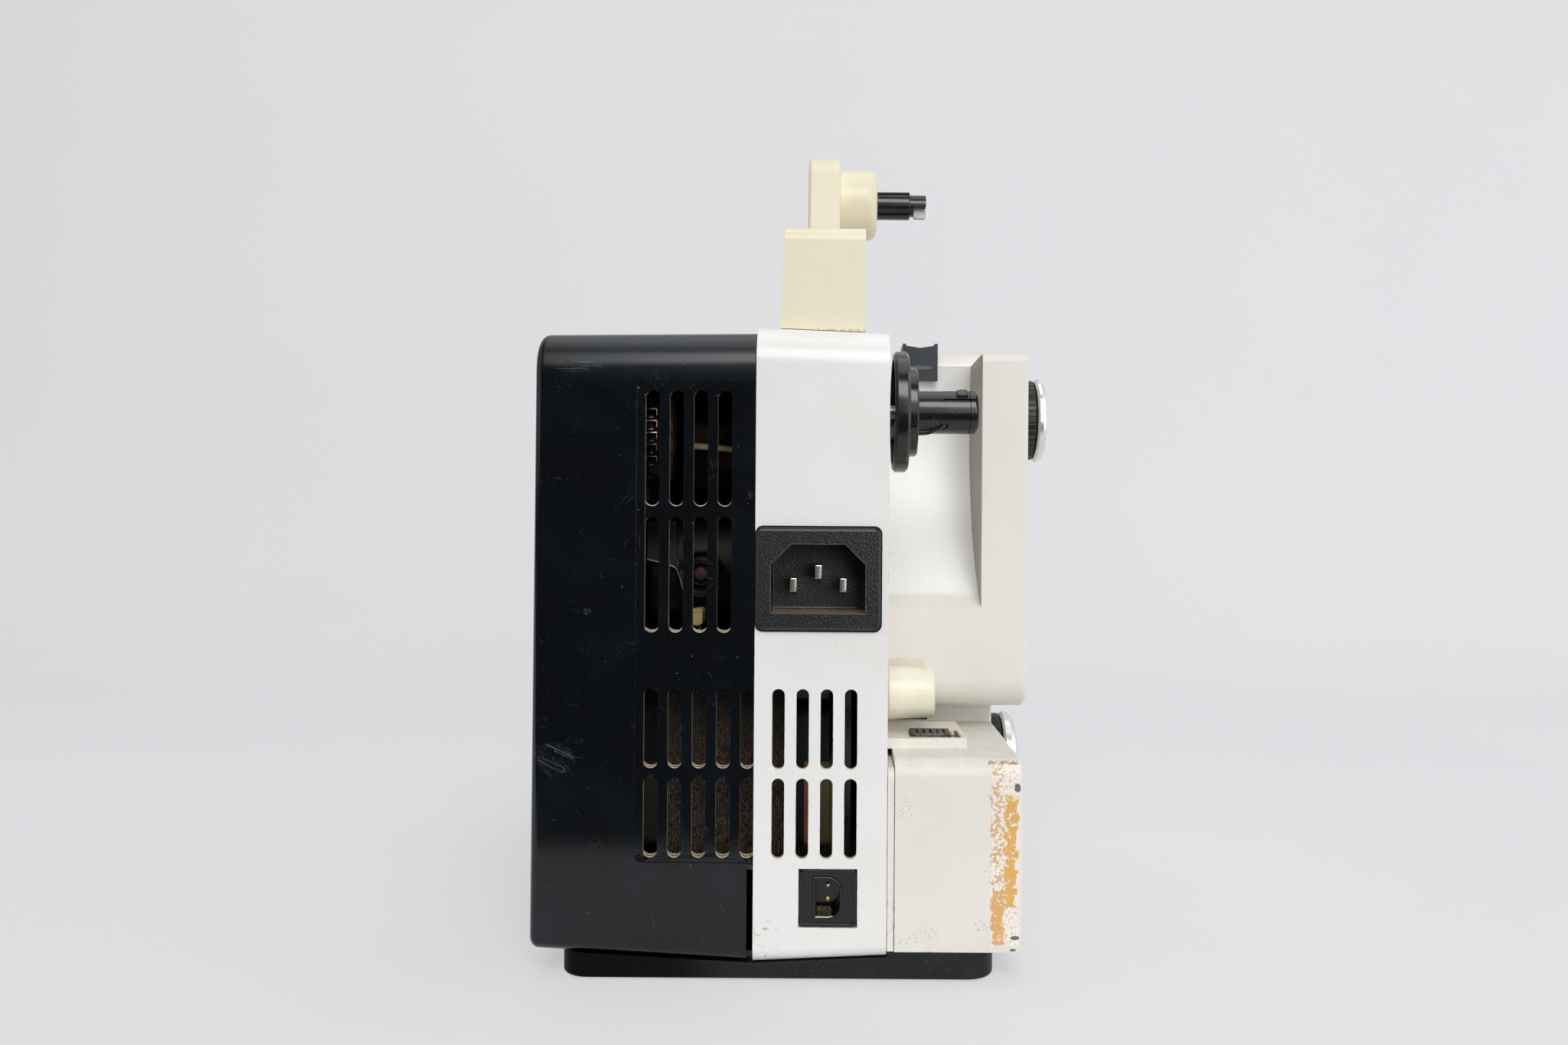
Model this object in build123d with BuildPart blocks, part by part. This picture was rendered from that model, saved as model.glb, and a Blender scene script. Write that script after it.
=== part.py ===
from build123d import *

import os
from math import cos, radians, sin

# A compact projector for 8 mm film. All sizes are in millimetres.
# X runs to the film side, Y runs forward from the rear face to the lens, Z runs up from the table.

# Case: black side cover, white body, film side
cover_width = 62.6
cover_lean = 0.8
body_width = 37.3
film_width = 46.3
case_depth = 196.0
case_bottom = 5.1
case_height = 179.0
top_fall = 1.45
bottom_rise = 1.8
cover_drop = 1.75
cover_fall = 0.8
cover_tuck = 3.3
wall = 2.2
top_round = 11.0
bottom_round = 4.0
edge_round = 2.6
small_round = 0.4
small_edge = 0.8
part_gap = 0.3
seat_gap = 0.2
run_gap = 0.3
shaft_gap = 0.05

# Ventilation slots in the rear face
slot_pitch = 6.75
cover_slot_width = 4.0
body_slot_width = 3.5
slot_first = 28.9
body_slot_first = 6.8
cover_columns = 4
body_columns = 4
# (their heights and lengths are shares of the case's height)
long_slot_share = 0.181
short_slot_share = 0.125
long_row_shares = (0.803, 0.606)
short_row_shares = (0.3665, 0.227)
panel_left = 33.3
panel_low_share = 0.157
panel_high_share = 0.908
panel_depth = 0.5
edge_notch = 1.8
intake_slots = 7
intake_slot_length = 44.0
intake_slot_width = 3.0
intake_pitch = 7.0

# Base
base_left = 54.3
base_right = 68.0
base_inset = 1.5
base_lift = 0.4
base_round = 8.0
base_edge = 1.0
base_wall = 2.0
pad_radius = 7.0
pad_height = 2.4
pad_inset = 14.0
foot_width = 46.0
foot_depth = 12.0
foot_travel = 12.0
foot_inset = 28.0
foot_stem = 4.0

# Mains inlet and two-pin socket
inlet_width = 35.0
inlet_height = 28.6
inlet_centre_x = 17.6
inlet_share = 0.601
inlet_proud = 1.6
inlet_body_width = 29.6
inlet_body_height = 23.6
inlet_body_depth = 24.0
cavity_width = 26.3
cavity_height = 19.2
cavity_depth = 16.0
cavity_chamfer = 5.6
blade_width = 2.0
blade_height = 4.0
blade_length = 12.5
blade_spread = 14.0
blade_drop = 3.7
socket_side = 16.4
socket_centre_x = 20.9
socket_lift = 18.5
socket_recess = 0.6
socket_depth = 14.0
key_width = 6.6
key_height = 10.3
key_depth = 6.5
contact_pitch = 3.8
contact_size = 1.0

# Take-up spindle
take_up_back = 20.0
take_up_drop = 23.1
disc_gap = 1.7
disc_width = 4.4
disc_radius = 17.7
disc_hollow = 3.4
flange_width = 2.6
flange_radius = 13.0
barrel_radius = 6.3
barrel_length = 18.1
tongue_width = 4.4
tongue_slit = 0.6
tongue_start = 6.5
tongue_turn = 37.0
spring_hole = 2.4
spring_turn = 131.0
shaft_radius = 2.0

# Film side: upper housing, reel recess, knob and chute
film_back = 48.0
film_front = 190.0
film_lift = 7.6
slab_drop = 1.6
slab_width = 14.7
crown_rise = 3.6
crown_back = 82.5
crown_round = 8.0
recess_radius = 65.7
film_wall = 2.5
film_low_round = 9.0
film_front_round = 12.0
film_edge = 1.6
film_offset = 14.0
knob_height = 12.6
knob_back = 100.0
knob_drop = 18.7
knob_radius = 14.8
knob_skirt = 8.9
knob_flutes = 40
knob_collar = 1.5
bore_share = 0.7
# (the cap's rim as shares of its depth: outward, then inward from its radius)
cap_curve = ((0.55, 0.0), (0.9, 0.35), (1.0, 0.7), (0.8, 1.1))
cap_dish = 0.65
knob_lip = 0.65
flute_radius = 0.55
chute_width = 12.0
chute_wall = 1.2
chute_back = 80.5
chute_dip = 1.4
chute_hook = 10.6
chute_length = 15.0
chute_ear = 2.0

# Film side: control housing, its knob and its switch
box_flange = 2.0
box_reach = 38.0
box_back = 1.0
box_lift = 3.3
box_height = 53.7
step_back = 71.0
box_round = 5.0
control_back = 110.0
control_drop = 20.4
control_radius = 17.9
control_skirt = 7.5
control_height = 12.8
switch_shaft = 16.0
wafers = 3
wafer_pitch = 7.0
wafer_inner = 12.7
wafer_outer = 15.5
switch_back = 18.7
switch_depth = 33.0
switch_width = 24.0
switch_raise = 3.0
slider_left = 8.0
slider_length = 12.0
slider_depth = 11.0
slider_travel = 2.2
slider_height = 2.6
slider_ribs = 5
switch_deep = 15.0
film_slot_width = 15.0
film_slot_height = 4.6
film_gap = 0.4

# Guide roller
roller_back = 30.0
roller_lift = 15.1
roller_length = 14.0
roller_radius = 8.0
roller_taper = 0.5
roller_stand = 1.1

# Carrying handle and supply arm
handle_left = 5.9
handle_width = 24.7
handle_height = 29.4
handle_back = 10.0
handle_draft = 1.5
bar_thick = 12.0
grip_round = 3.0
post_depth = 20.0
front_post = 150.0
handle_front = 186.0
channel_back = 84.0
slot_back = 131.0
near_cheek = 4.4
far_cheek = 6.2
arm_back = 172.0
arm_rise = 17.7
arm_length = 75.0
arm_lean = 63.0
arm_foot_radius = 11.0
arm_head_radius = 20.0
hub_radius = 14.9
hub_width = 16.2
pin_radius = 3.0
supply_radius = 6.05
supply_length = 14.2
tip_length = 7.1
tip_step = 1.8
groove = 1.4
tip_radius = 4.7
key_thick = 2.4
key_eye = 1.7
key_pin_radius = 0.5
key_lift = 0.6

# Inside: drive, lamp, gate and lens
plate_thick = 1.6
plate_offset = 26.0
plate_inset = 8.0
plate_notch = 30.0
plate_step = 25.0
post_inset = 6.5
bracket_half = 25.0
bracket_near = 14.0
bracket_far = 22.0
motor_back = 60.0
motor_gap = 5.0
motor_radius = 23.0
motor_length = 38.0
motor_left = 36.0
fan_radius = 27.0
fan_width = 12.0
fan_blades = 9
fan_sheet = 1.2
fan_hub = 6.7
shutter_back = 92.0
shutter_radius = 38.0
shutter_thick = 0.8
shutter_window = 62.0
window_middle = 25.7
window_width = 23.6
belt_thick = 1.6
belt_width = 3.0
pulley_width = 4.2
timing_offset = 9.0
drive_offset = 14.0
motor_pulley = 5.0
shutter_pulley = 9.0
small_pulley = 4.5
take_up_pulley = 13.0
sprocket_pulley = 11.0
sprocket_radius = 7.6
sprocket_width = 7.9
sprocket_teeth = 12
sprocket_step = 1.5
tooth_track = 2.0
tooth_size = 1.0
beam_back = 118.0
beam_rise = 16.0
reflector_radius = 25.0
reflector_depth = 22.0
neck_share = 0.3
glass_thick = 1.5
bowl_steps = 6
bulb_share = 0.6
holder_width = 12.0
holder_half = 10.0
ring_lip = 1.0
ring_width = 7.0
ring_foot = 5.0
ring_wall = 2.0
condenser_radius = 10.95
strip_half = 4.0
strip_back = 14.0
strip_depth = 8.0
strip_share = 0.25
strip_screws = 4
strip_pitch = 6.0
mirror_long = 20.0
gate_thick = 1.2
gate_half = 7.0
frame_wide = 5.5
frame_high = 4.1
claw_stroke = 4.2
claw_offset = 5.6
claw_low = 6.2
claw_room = 0.7
claw_width = 4.0
barrel_wall = 2.5
glass_back = 3.0
glass_deep = 4.0
lens_radius = 12.0
lens_bezel = 16.0
lens_inset = 55.0
lens_length = 60.0
bezel_length = 15.0
holder_wall = 1.8
focus_travel = 4.0
gate_gap = 12.0
core_stack = 34.0
core_back = 12.0
core_depth = 50.0
core_lift = 25.4
core_height = 54.0
core_share = 0.74
coil_bulge = 12.0
coil_round = 6.0
bolt_inset = 5.0
foot_lip = 3.0

# Screws
screw_radius = 1.5
screw_post = 3.0
screw_slot = 0.4
screw_head = 3.0
screw_head_thick = 1.3
screw_inset = 16.0

# Planes that the pieces share, from the sizes above
arm_reach = arm_back + arm_length * cos(radians(arm_lean)) + arm_head_radius
x_part = (cover_width - body_width - film_width - knob_height) / 2
x_left = x_part - cover_width
x_wall = x_part + body_width
x_film = x_wall + film_width
x_slab = x_film - slab_width
x_box = x_wall + box_reach
x_plane = x_wall + film_offset
x_plate = x_part + plate_offset
y_rear = -(arm_reach + inlet_proud) / 2 + inlet_proud
y_front = y_rear + case_depth
z_top = case_bottom + case_height
take_up_z = z_top - take_up_drop
knob_z = z_top - knob_drop
inlet_centre_z = case_bottom + inlet_share * case_height
socket_centre_z = case_bottom + socket_lift
box_bottom = case_bottom + box_lift
box_top = box_bottom + box_height
control_z = box_top - control_drop
roller_z = box_top + roller_lift
film_bottom = box_top + film_lift
slab_top = z_top - slab_drop
crown_top = z_top + crown_rise
core_low = case_bottom + core_lift
core_top = core_low + core_height
motor_z = core_top + motor_gap + motor_radius
beam_z = motor_z + beam_rise


def roof(x):
    """Height of the white body's sloping top at x."""
    return z_top - top_fall * (x - x_part) / body_width


def cover_floor(x):
    """Height of the black cover's sloping underside at x."""
    return case_bottom + cover_tuck * (x_part - x) / cover_width


def body_floor(x):
    """Height of the white body's sloping underside at x."""
    return case_bottom + bottom_rise * (x - x_part) / body_width


def up_case(share):
    """Height at a share of the case's height."""
    return case_bottom + share * case_height


def side_plane(x):
    """Plane across the machine at x; sketch points on it are (y, z)."""
    return Plane.YZ.offset(x)


def rear_plane(y):
    """Plane facing the rear at y; sketch points on it are (x, z)."""
    return Plane.XZ.offset(-y)


def axle_plane(y, z):
    """Plane through an axle along X; sketch points on it are (x, radius)."""
    return Plane(origin=(0, y, z), x_dir=(1, 0, 0), z_dir=(0, -1, 0))


def axle(y, z):
    """Axis along X through (y, z)."""
    return Axis((0, y, z), (1, 0, 0))


def block(x_range, y_range, z_range, mode=Mode.ADD):
    """Box between two x, two y and two z values."""
    spans = (x_range, y_range, z_range)
    with Locations(tuple((low + high) / 2 for low, high in spans)):
        Box(*(high - low for low, high in spans), mode=mode)


end_on = (Align.CENTER, Align.CENTER, Align.MIN)


def rod(x_range, y, z, radius, mode=Mode.ADD):
    """Cylinder along X."""
    with Locations(Location((x_range[0], y, z), (0, 90, 0))):
        Cylinder(radius, x_range[1] - x_range[0], align=end_on, mode=mode)


def tube(y_range, x, z, radius, mode=Mode.ADD):
    """Cylinder along Y."""
    with Locations(Location((x, y_range[0], z), (-90, 0, 0))):
        Cylinder(radius, y_range[1] - y_range[0], align=end_on, mode=mode)


def post(x, y, z_range, radius, mode=Mode.ADD):
    """Cylinder along Z."""
    with Locations((x, y, z_range[0])):
        Cylinder(radius, z_range[1] - z_range[0], align=end_on, mode=mode)


def case_block(corners, y_range, upper, lower):
    """Block with a four-cornered (x, z) section whose front and rear ends are rounded."""
    with BuildPart() as blank:
        with BuildSketch(rear_plane(y_range[0])):
            Polygon(*corners, align=None)
        extrude(amount=y_range[0] - y_range[1])
        for end in (0, -1):
            fillet(blank.edges().group_by(Axis.Y)[end].sort_by(Axis.Z)[-1], upper)
        for end in (0, -1):
            fillet(blank.edges().group_by(Axis.Y)[end].sort_by(Axis.Z)[0], lower)
    return blank.part


def wrap(centre_a, radius_a, centre_b, radius_b):
    """Face of a line drawn tight round two circles."""
    with BuildSketch() as face:
        with Locations(centre_a):
            Circle(radius_a)
        with Locations(centre_b):
            Circle(radius_b)
        make_hull()
    return face.sketch


def turned(profile, y, z):
    """Piece turned about an axle along X; profile points are (x, radius)."""
    with BuildPart() as piece:
        with BuildSketch(axle_plane(y, z)):
            Polygon(*profile, align=None)
        revolve(axis=axle(y, z))
    return piece.part


def belt(centre_a, radius_a, centre_b, radius_b, x):
    """Flat belt round two pulleys, clear of both by the running gap."""
    inner = (radius_a + run_gap, radius_b + run_gap)
    with BuildPart() as loop:
        with BuildSketch(side_plane(x)):
            add(wrap(centre_a, inner[0] + belt_thick, centre_b, inner[1] + belt_thick))
            add(wrap(centre_a, inner[0], centre_b, inner[1]), mode=Mode.SUBTRACT)
        extrude(amount=belt_width)
    return loop.part


def keep(piece, name):
    """Label a finished sub-part and write its file."""
    piece.label = name
    export_step(piece, f"parts/{name}.step")


os.makedirs("parts", exist_ok=True)

# Base tray: a dark plastic pan, hollow below, whose top follows the case
y_base = y_rear + base_inset
y_base_front = y_front - base_inset
x_base = x_part - base_left
x_base_end = x_part + base_right
base_top = case_bottom - seat_gap
base_side = cover_floor(x_base) - seat_gap
base_corners = [
    (x_base, base_lift),
    (x_base_end, base_lift),
    (x_base_end, box_bottom - seat_gap),
    (x_wall + part_gap, box_bottom - seat_gap),
    (x_wall + part_gap, base_top + bottom_rise),
    (x_wall, base_top + bottom_rise),
    (x_part, base_top),
    (x_base, base_side),
]
pad_spots = [(x_base + pad_inset, y_base + pad_inset), (x_base_end - pad_inset, y_base + pad_inset)]
y_foot = y_front - foot_inset
x_foot = (x_part + x_wall) / 2
with BuildPart() as base_tray:
    with BuildSketch(rear_plane(y_base)):
        Polygon(*base_corners, align=None)
    extrude(amount=y_base - y_base_front)
    uprights = base_tray.edges().filter_by(Axis.Z).group_by(Axis.X)
    fillet(uprights[0] + uprights[-1], base_round)
    fillet(base_tray.faces().sort_by(Axis.Z)[0].edges(), base_edge)
    inner_x = (x_base + 3 * base_wall, x_base_end - 3 * base_wall)
    inner_y = (y_base + base_wall, y_base_front - base_wall)
    block(inner_x, inner_y, (0, base_top - base_wall), mode=Mode.SUBTRACT)
    for x, y in pad_spots:
        post(x, y, (pad_height, base_top - base_wall), pad_radius + base_wall)
    foot_hole = foot_stem + shaft_gap
    post(x_foot, y_foot, (0, box_bottom), foot_hole, mode=Mode.SUBTRACT)
keep(base_tray.part, "base_tray")

# Rear rubber pads, pressed onto the tray's two bosses
with BuildPart() as rear_pads:
    for x, y in pad_spots:
        post(x, y, (0, pad_height), pad_radius)
    fillet(rear_pads.edges().group_by(Axis.Z)[0], pad_height / 5)
keep(rear_pads.part, "rear_pads")

# Tilting foot: a wide bar on one round stem, stored flat under the tray
with BuildPart() as front_foot:
    block(
        (x_foot - foot_width / 2, x_foot + foot_width / 2),
        (y_foot - foot_depth / 2, y_foot + foot_depth / 2),
        (0, base_top - base_wall - run_gap),
    )
    fillet(front_foot.edges().filter_by(Axis.Z), foot_depth / 4)
    post(x_foot, y_foot, (0, case_bottom + foot_travel), foot_stem)
keep(front_foot.part, "front_foot")

# White body: a painted shell, open on the black cover's side
long_rows = [up_case(share) for share in long_row_shares]
long_slot = long_slot_share * case_height
short_slot = short_slot_share * case_height
slot_rows = [(up_case(share), short_slot) for share in short_row_shares]
panel_low = up_case(panel_low_share)
panel_high = up_case(panel_high_share)
x_inlet = x_part + inlet_centre_x
x_socket = x_part + socket_centre_x
y_take_up = y_rear + take_up_back
y_knob = y_rear + knob_back
y_beam = y_rear + beam_back
y_shutter = y_rear + shutter_back
z_shutter = motor_z
body_corners = [
    (x_part, body_floor(x_part)),
    (x_wall, body_floor(x_wall)),
    (x_wall, roof(x_wall)),
    (x_part, roof(x_part)),
]
body_room = [
    (x_part - wall, body_floor(x_part) + wall),
    (x_wall - wall, body_floor(x_wall) + wall),
    (x_wall - wall, roof(x_wall) - wall),
    (x_part - wall, roof(x_part) - wall),
]
with BuildPart() as main_body:
    add(case_block(body_corners, (y_rear, y_front), top_round, bottom_round))
    add(
        case_block(body_room, (y_rear + wall, y_front - wall), top_round - wall, bottom_round - wall),
        mode=Mode.SUBTRACT,
    )
    with BuildSketch(rear_plane(y_rear)):
        for column in range(body_columns):
            for z, length in slot_rows:
                with Locations((x_part + body_slot_first + column * slot_pitch, z)):
                    SlotOverall(length, body_slot_width, rotation=90)
        with Locations((x_inlet, inlet_centre_z)):
            Rectangle(inlet_body_width + 2 * seat_gap, inlet_body_height + 2 * seat_gap)
        with Locations((x_socket, socket_centre_z)):
            Rectangle(socket_side, socket_side)
    extrude(amount=-wall, mode=Mode.SUBTRACT)
    through = (x_wall - 2 * wall, x_wall + wall)
    bush_radius = shaft_radius + shaft_gap
    rod(through, y_take_up, take_up_z, bush_radius, mode=Mode.SUBTRACT)
    rod(through, y_knob, knob_z, bush_radius, mode=Mode.SUBTRACT)
    rod(through, y_beam, beam_z, lens_radius, mode=Mode.SUBTRACT)
    post(x_foot, y_foot, (0, case_bottom + 2 * wall), foot_hole + run_gap, mode=Mode.SUBTRACT)
    for front_slot in range(body_columns):
        x = x_part + body_slot_first + front_slot * slot_pitch
        block(
            (x - body_slot_width / 2, x + body_slot_width / 2),
            (y_front - 2 * wall, y_front + wall),
            (long_rows[1] - long_slot / 2, long_rows[1] + long_slot / 2),
            mode=Mode.SUBTRACT,
        )
keep(main_body.part, "main_body")

# Black side cover: a moulded tub that closes the body, with a vented panel let into its rear
x_cover = x_part - part_gap
cover_corners = [
    (x_left, cover_floor(x_left)),
    (x_cover, cover_floor(x_cover)),
    (x_cover, z_top - cover_drop),
    (x_left + cover_lean, z_top - cover_drop - cover_fall),
]
cover_room = [
    (x_left + wall, cover_floor(x_left) + wall),
    (x_part + wall, cover_floor(x_cover) + wall),
    (x_part + wall, z_top - cover_drop - wall),
    (x_left + cover_lean + wall, z_top - cover_drop - cover_fall - wall),
]
cover_rows = [(z, long_slot) for z in long_rows] + slot_rows
cover_screw_spots = [
    (y_rear + screw_inset, panel_low),
    (y_front - screw_inset, panel_low),
    (y_front - screw_inset, z_top - screw_inset),
]


def cover_face(z):
    """Where the black cover's leaning side stands at height z."""
    return x_left + cover_lean * (z - case_bottom) / case_height


x_panel = x_part - panel_left
y_intake = y_rear + motor_back
with BuildPart() as side_cover:
    add(case_block(cover_corners, (y_rear, y_front), top_round, bottom_round))
    fillet(side_cover.faces().sort_by(Axis.X)[0].edges(), edge_round)
    add(
        case_block(cover_room, (y_rear + wall, y_front - wall), top_round - wall, bottom_round - wall),
        mode=Mode.SUBTRACT,
    )
    with BuildSketch(rear_plane(y_rear)):
        with Locations(((x_panel + x_part + wall) / 2, (panel_low + panel_high) / 2)):
            RectangleRounded(x_part + wall - x_panel, panel_high - panel_low, wall)
    extrude(amount=-panel_depth, mode=Mode.SUBTRACT)
    with BuildSketch(rear_plane(y_rear)):
        for z, length in cover_rows:
            extra = 1 if length == short_slot else 0
            for column in range(cover_columns + extra):
                with Locations((x_part - slot_first + column * slot_pitch, z)):
                    SlotOverall(length, cover_slot_width, rotation=90)
    extrude(amount=-2 * wall, mode=Mode.SUBTRACT)
    block(
        (x_part - edge_notch, x_part),
        (y_rear - wall, y_rear + 2 * wall),
        (0, panel_low),
        mode=Mode.SUBTRACT,
    )
    with BuildSketch(side_plane(x_left - wall)):
        for row in range(intake_slots):
            z = motor_z + (row - (intake_slots - 1) / 2) * intake_pitch
            with Locations((y_intake, z)):
                SlotOverall(intake_slot_length, intake_slot_width)
    extrude(amount=3 * wall + cover_lean, mode=Mode.SUBTRACT)
    for front_slot in range(cover_columns):
        x = x_part - slot_first + front_slot * slot_pitch
        block(
            (x - cover_slot_width / 2, x + cover_slot_width / 2),
            (y_front - 2 * wall, y_front + wall),
            (long_rows[1] - long_slot / 2, long_rows[1] + long_slot / 2),
            mode=Mode.SUBTRACT,
        )
    for y, z in cover_screw_spots:
        sunk = cover_face(z) + screw_head_thick + seat_gap
        rod((x_left - wall, sunk), y, z, screw_head + 2 * seat_gap, mode=Mode.SUBTRACT)
keep(side_cover.part, "side_cover")

# Mains inlet: a snap-in black housing with a flange, an open cavity and three flat blades
y_inlet = y_rear - inlet_proud
chamfer_x = cavity_width / 2 - cavity_chamfer
chamfer_z = cavity_height / 2 - cavity_chamfer
cavity_outline = [
    (-cavity_width / 2, -cavity_height / 2),
    (cavity_width / 2, -cavity_height / 2),
    (cavity_width / 2, chamfer_z),
    (chamfer_x, cavity_height / 2),
    (-chamfer_x, cavity_height / 2),
    (-cavity_width / 2, chamfer_z),
]
with BuildPart() as mains_inlet:
    with BuildSketch(rear_plane(y_rear)):
        with Locations((x_inlet, inlet_centre_z)):
            RectangleRounded(inlet_width, inlet_height, wall)
    extrude(amount=inlet_proud)
    chamfer(mains_inlet.faces().sort_by(Axis.Y)[0].edges(), inlet_proud / 3)
    with BuildSketch(rear_plane(y_rear)):
        with Locations((x_inlet, inlet_centre_z)):
            Rectangle(inlet_body_width, inlet_body_height)
    extrude(amount=-inlet_body_depth)
    with BuildSketch(rear_plane(y_inlet)):
        with Locations((x_inlet, inlet_centre_z)):
            Polygon(*cavity_outline, align=None)
    extrude(amount=-cavity_depth, mode=Mode.SUBTRACT)
keep(mains_inlet.part, "mains_inlet")

# Its blades: two level ones low down, and a taller earth blade between and above them
y_cavity = y_inlet + cavity_depth
blade_spots = [
    (x_inlet - blade_spread / 2, inlet_centre_z - blade_drop / 2),
    (x_inlet + blade_spread / 2, inlet_centre_z - blade_drop / 2),
    (x_inlet, inlet_centre_z + blade_drop / 2),
]
with BuildPart() as inlet_blades:
    for x, z in blade_spots:
        block(
            (x - blade_width / 2, x + blade_width / 2),
            (y_cavity - blade_length, y_cavity),
            (z - blade_height / 2, z + blade_height / 2),
        )
keep(inlet_blades.part, "inlet_blades")

# Two-pin socket: a square insert with a D-shaped recess and two contacts
y_socket = y_rear + socket_recess
insert_side = socket_side - 2 * seat_gap
with BuildPart() as two_pin_socket:
    with BuildSketch(rear_plane(y_socket)):
        with Locations((x_socket, socket_centre_z)):
            Rectangle(insert_side, insert_side)
    extrude(amount=-socket_depth)
    chamfer(two_pin_socket.faces().sort_by(Axis.Y)[0].edges(), socket_recess / 2)
    with BuildSketch(rear_plane(y_socket)):
        with Locations((x_socket, socket_centre_z)):
            Rectangle(key_width, key_height)
    extrude(amount=-key_depth, mode=Mode.SUBTRACT)
    round_edges = two_pin_socket.edges().filter_by(Axis.Y).filter_by_position(
        Axis.X, x_socket + key_width / 2 - seat_gap, x_socket + key_width / 2 + seat_gap
    )
    fillet(round_edges, key_width / 2)
keep(two_pin_socket.part, "two_pin_socket")

with BuildPart() as socket_contacts:
    for side in (-1, 1):
        z = socket_centre_z + side * contact_pitch / 2
        block(
            (x_socket - contact_size / 2, x_socket + contact_size / 2),
            (y_socket + key_depth - contact_size, y_socket + key_depth),
            (z - contact_size / 2, z + contact_size / 2),
        )
keep(socket_contacts.part, "socket_contacts")

# Carrying handle: a cream bar on two posts; its front end is a fork for the supply arm
y_handle = y_rear + handle_back
y_fork_end = y_rear + handle_front
y_arm = y_rear + arm_back
x_grip = x_part + handle_left
x_grip_end = x_grip + handle_width
z_grip = z_top + handle_height
z_arm = z_top + arm_rise
x_cheek = x_grip + near_cheek
x_cheek_end = x_grip_end - far_cheek
handle_corners = [
    (x_grip, roof(x_grip) - top_round / 2),
    (x_grip_end, roof(x_grip_end) - top_round / 2),
    (x_grip_end, z_grip),
    (x_grip + handle_draft, z_grip),
]
body_skin = [(x, z + seat_gap) for x, z in body_corners]
with BuildPart() as carry_handle:
    with BuildSketch(rear_plane(y_handle)):
        Polygon(*handle_corners, align=None)
    extrude(amount=y_handle - y_fork_end)
    fillet(carry_handle.edges().group_by(Axis.Y)[0].sort_by(Axis.Z)[-1], handle_height / 7)
    fillet(carry_handle.edges().group_by(Axis.Y)[-1].sort_by(Axis.Z)[-1], arm_foot_radius)
    add(
        case_block(body_skin, (y_rear - seat_gap, y_front + seat_gap), top_round, bottom_round),
        mode=Mode.SUBTRACT,
    )
    block(
        (x_grip - wall, x_grip_end + wall),
        (y_handle + post_depth, y_rear + front_post),
        (z_top - wall, z_grip - bar_thick),
        mode=Mode.SUBTRACT,
    )
    grip_edges = carry_handle.edges().filter_by(Axis.Y).filter_by_position(
        Axis.Z, z_grip - bar_thick - wall / 2, z_grip - bar_thick + wall / 2
    )
    fillet(grip_edges, grip_round)
    block(
        (x_cheek, x_cheek_end),
        (y_rear + channel_back, y_fork_end + wall),
        (z_grip - bar_thick + wall, z_grip + wall),
        mode=Mode.SUBTRACT,
    )
    block(
        (x_cheek, x_cheek_end),
        (y_rear + slot_back, y_fork_end + wall),
        (z_top + 2 * wall, z_grip + wall),
        mode=Mode.SUBTRACT,
    )
    rod((x_grip - wall, x_grip_end + wall), y_arm, z_arm, pin_radius, mode=Mode.SUBTRACT)
keep(carry_handle.part, "carry_handle")

# Hinge pin of the supply arm, pressed into the fork's cheeks
with BuildPart() as arm_pin:
    rod((x_grip + handle_draft, x_grip_end - seat_gap), y_arm, z_arm, pin_radius - shaft_gap)
keep(arm_pin.part, "arm_pin")

# Supply arm: a cream lever that stands up and forward, and folds back over the handle
y_head = y_arm + arm_length * cos(radians(arm_lean))
z_head = z_arm + arm_length * sin(radians(arm_lean))
x_arm = x_cheek + run_gap
x_arm_end = x_cheek_end - run_gap
x_hub_end = x_arm_end + hub_width
with BuildPart() as supply_arm:
    with BuildSketch(side_plane(x_arm)):
        add(wrap((y_arm, z_arm), arm_foot_radius, (y_head, z_head), arm_head_radius))
    extrude(amount=x_arm_end - x_arm)
    fillet(supply_arm.faces().sort_by(Axis.X)[-1].edges(), film_edge)
    fillet(supply_arm.faces().sort_by(Axis.X)[0].edges(), film_edge)
    rod((x_arm - wall, x_arm_end + wall), y_arm, z_arm, pin_radius, mode=Mode.SUBTRACT)
    rod((x_arm_end - wall, x_hub_end), y_head, z_head, hub_radius)
    fillet(supply_arm.faces().sort_by(Axis.X)[-1].edges(), hub_radius / 4)
    rod((x_arm_end - 2 * wall, x_hub_end + wall), y_head, z_head, bush_radius, mode=Mode.SUBTRACT)
keep(supply_arm.part, "supply_arm")

# Supply spindle: a black barrel on a steel-sized journal, with a cut-away tip for the key
x_supply = x_hub_end + run_gap
x_supply_end = x_supply + supply_length
x_tip = x_supply_end + tip_length
x_key_pin = x_supply_end + tip_length / 2
z_key = z_head + key_lift
with BuildPart() as supply_spindle:
    rod((x_arm_end - 2 * wall, x_supply), y_head, z_head, shaft_radius)
    rod((x_supply, x_supply_end), y_head, z_head, supply_radius)
    fillet(supply_spindle.edges().filter_by(GeomType.CIRCLE).sort_by(Axis.X)[-1], small_round)
    for turn in range(4):
        with Locations(Location((x_supply, y_head, z_head), (90 * turn + 45, 0, 0))):
            with Locations((supply_length / 2, 0, supply_radius)):
                Box(supply_length + wall, groove, groove, mode=Mode.SUBTRACT)
    rod((x_supply_end, x_tip), y_head, z_head, tip_radius)
    block(
        (x_supply_end + tip_step, x_tip + wall),
        (y_head - tip_radius, y_head + tip_radius),
        (z_head - tip_radius - wall, z_head - tip_radius / 4),
        mode=Mode.SUBTRACT,
    )
    slot_half = key_thick / 2 + run_gap
    block(
        (x_supply_end + tip_step, x_tip + wall),
        (y_head - slot_half, y_head + slot_half),
        (z_head - tip_radius - wall, z_head + tip_radius + wall),
        mode=Mode.SUBTRACT,
    )
    prong = tip_radius - key_lift
    tube((y_head - prong, y_head + prong), x_key_pin, z_key, key_pin_radius)
keep(supply_spindle.part, "supply_spindle")

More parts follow.
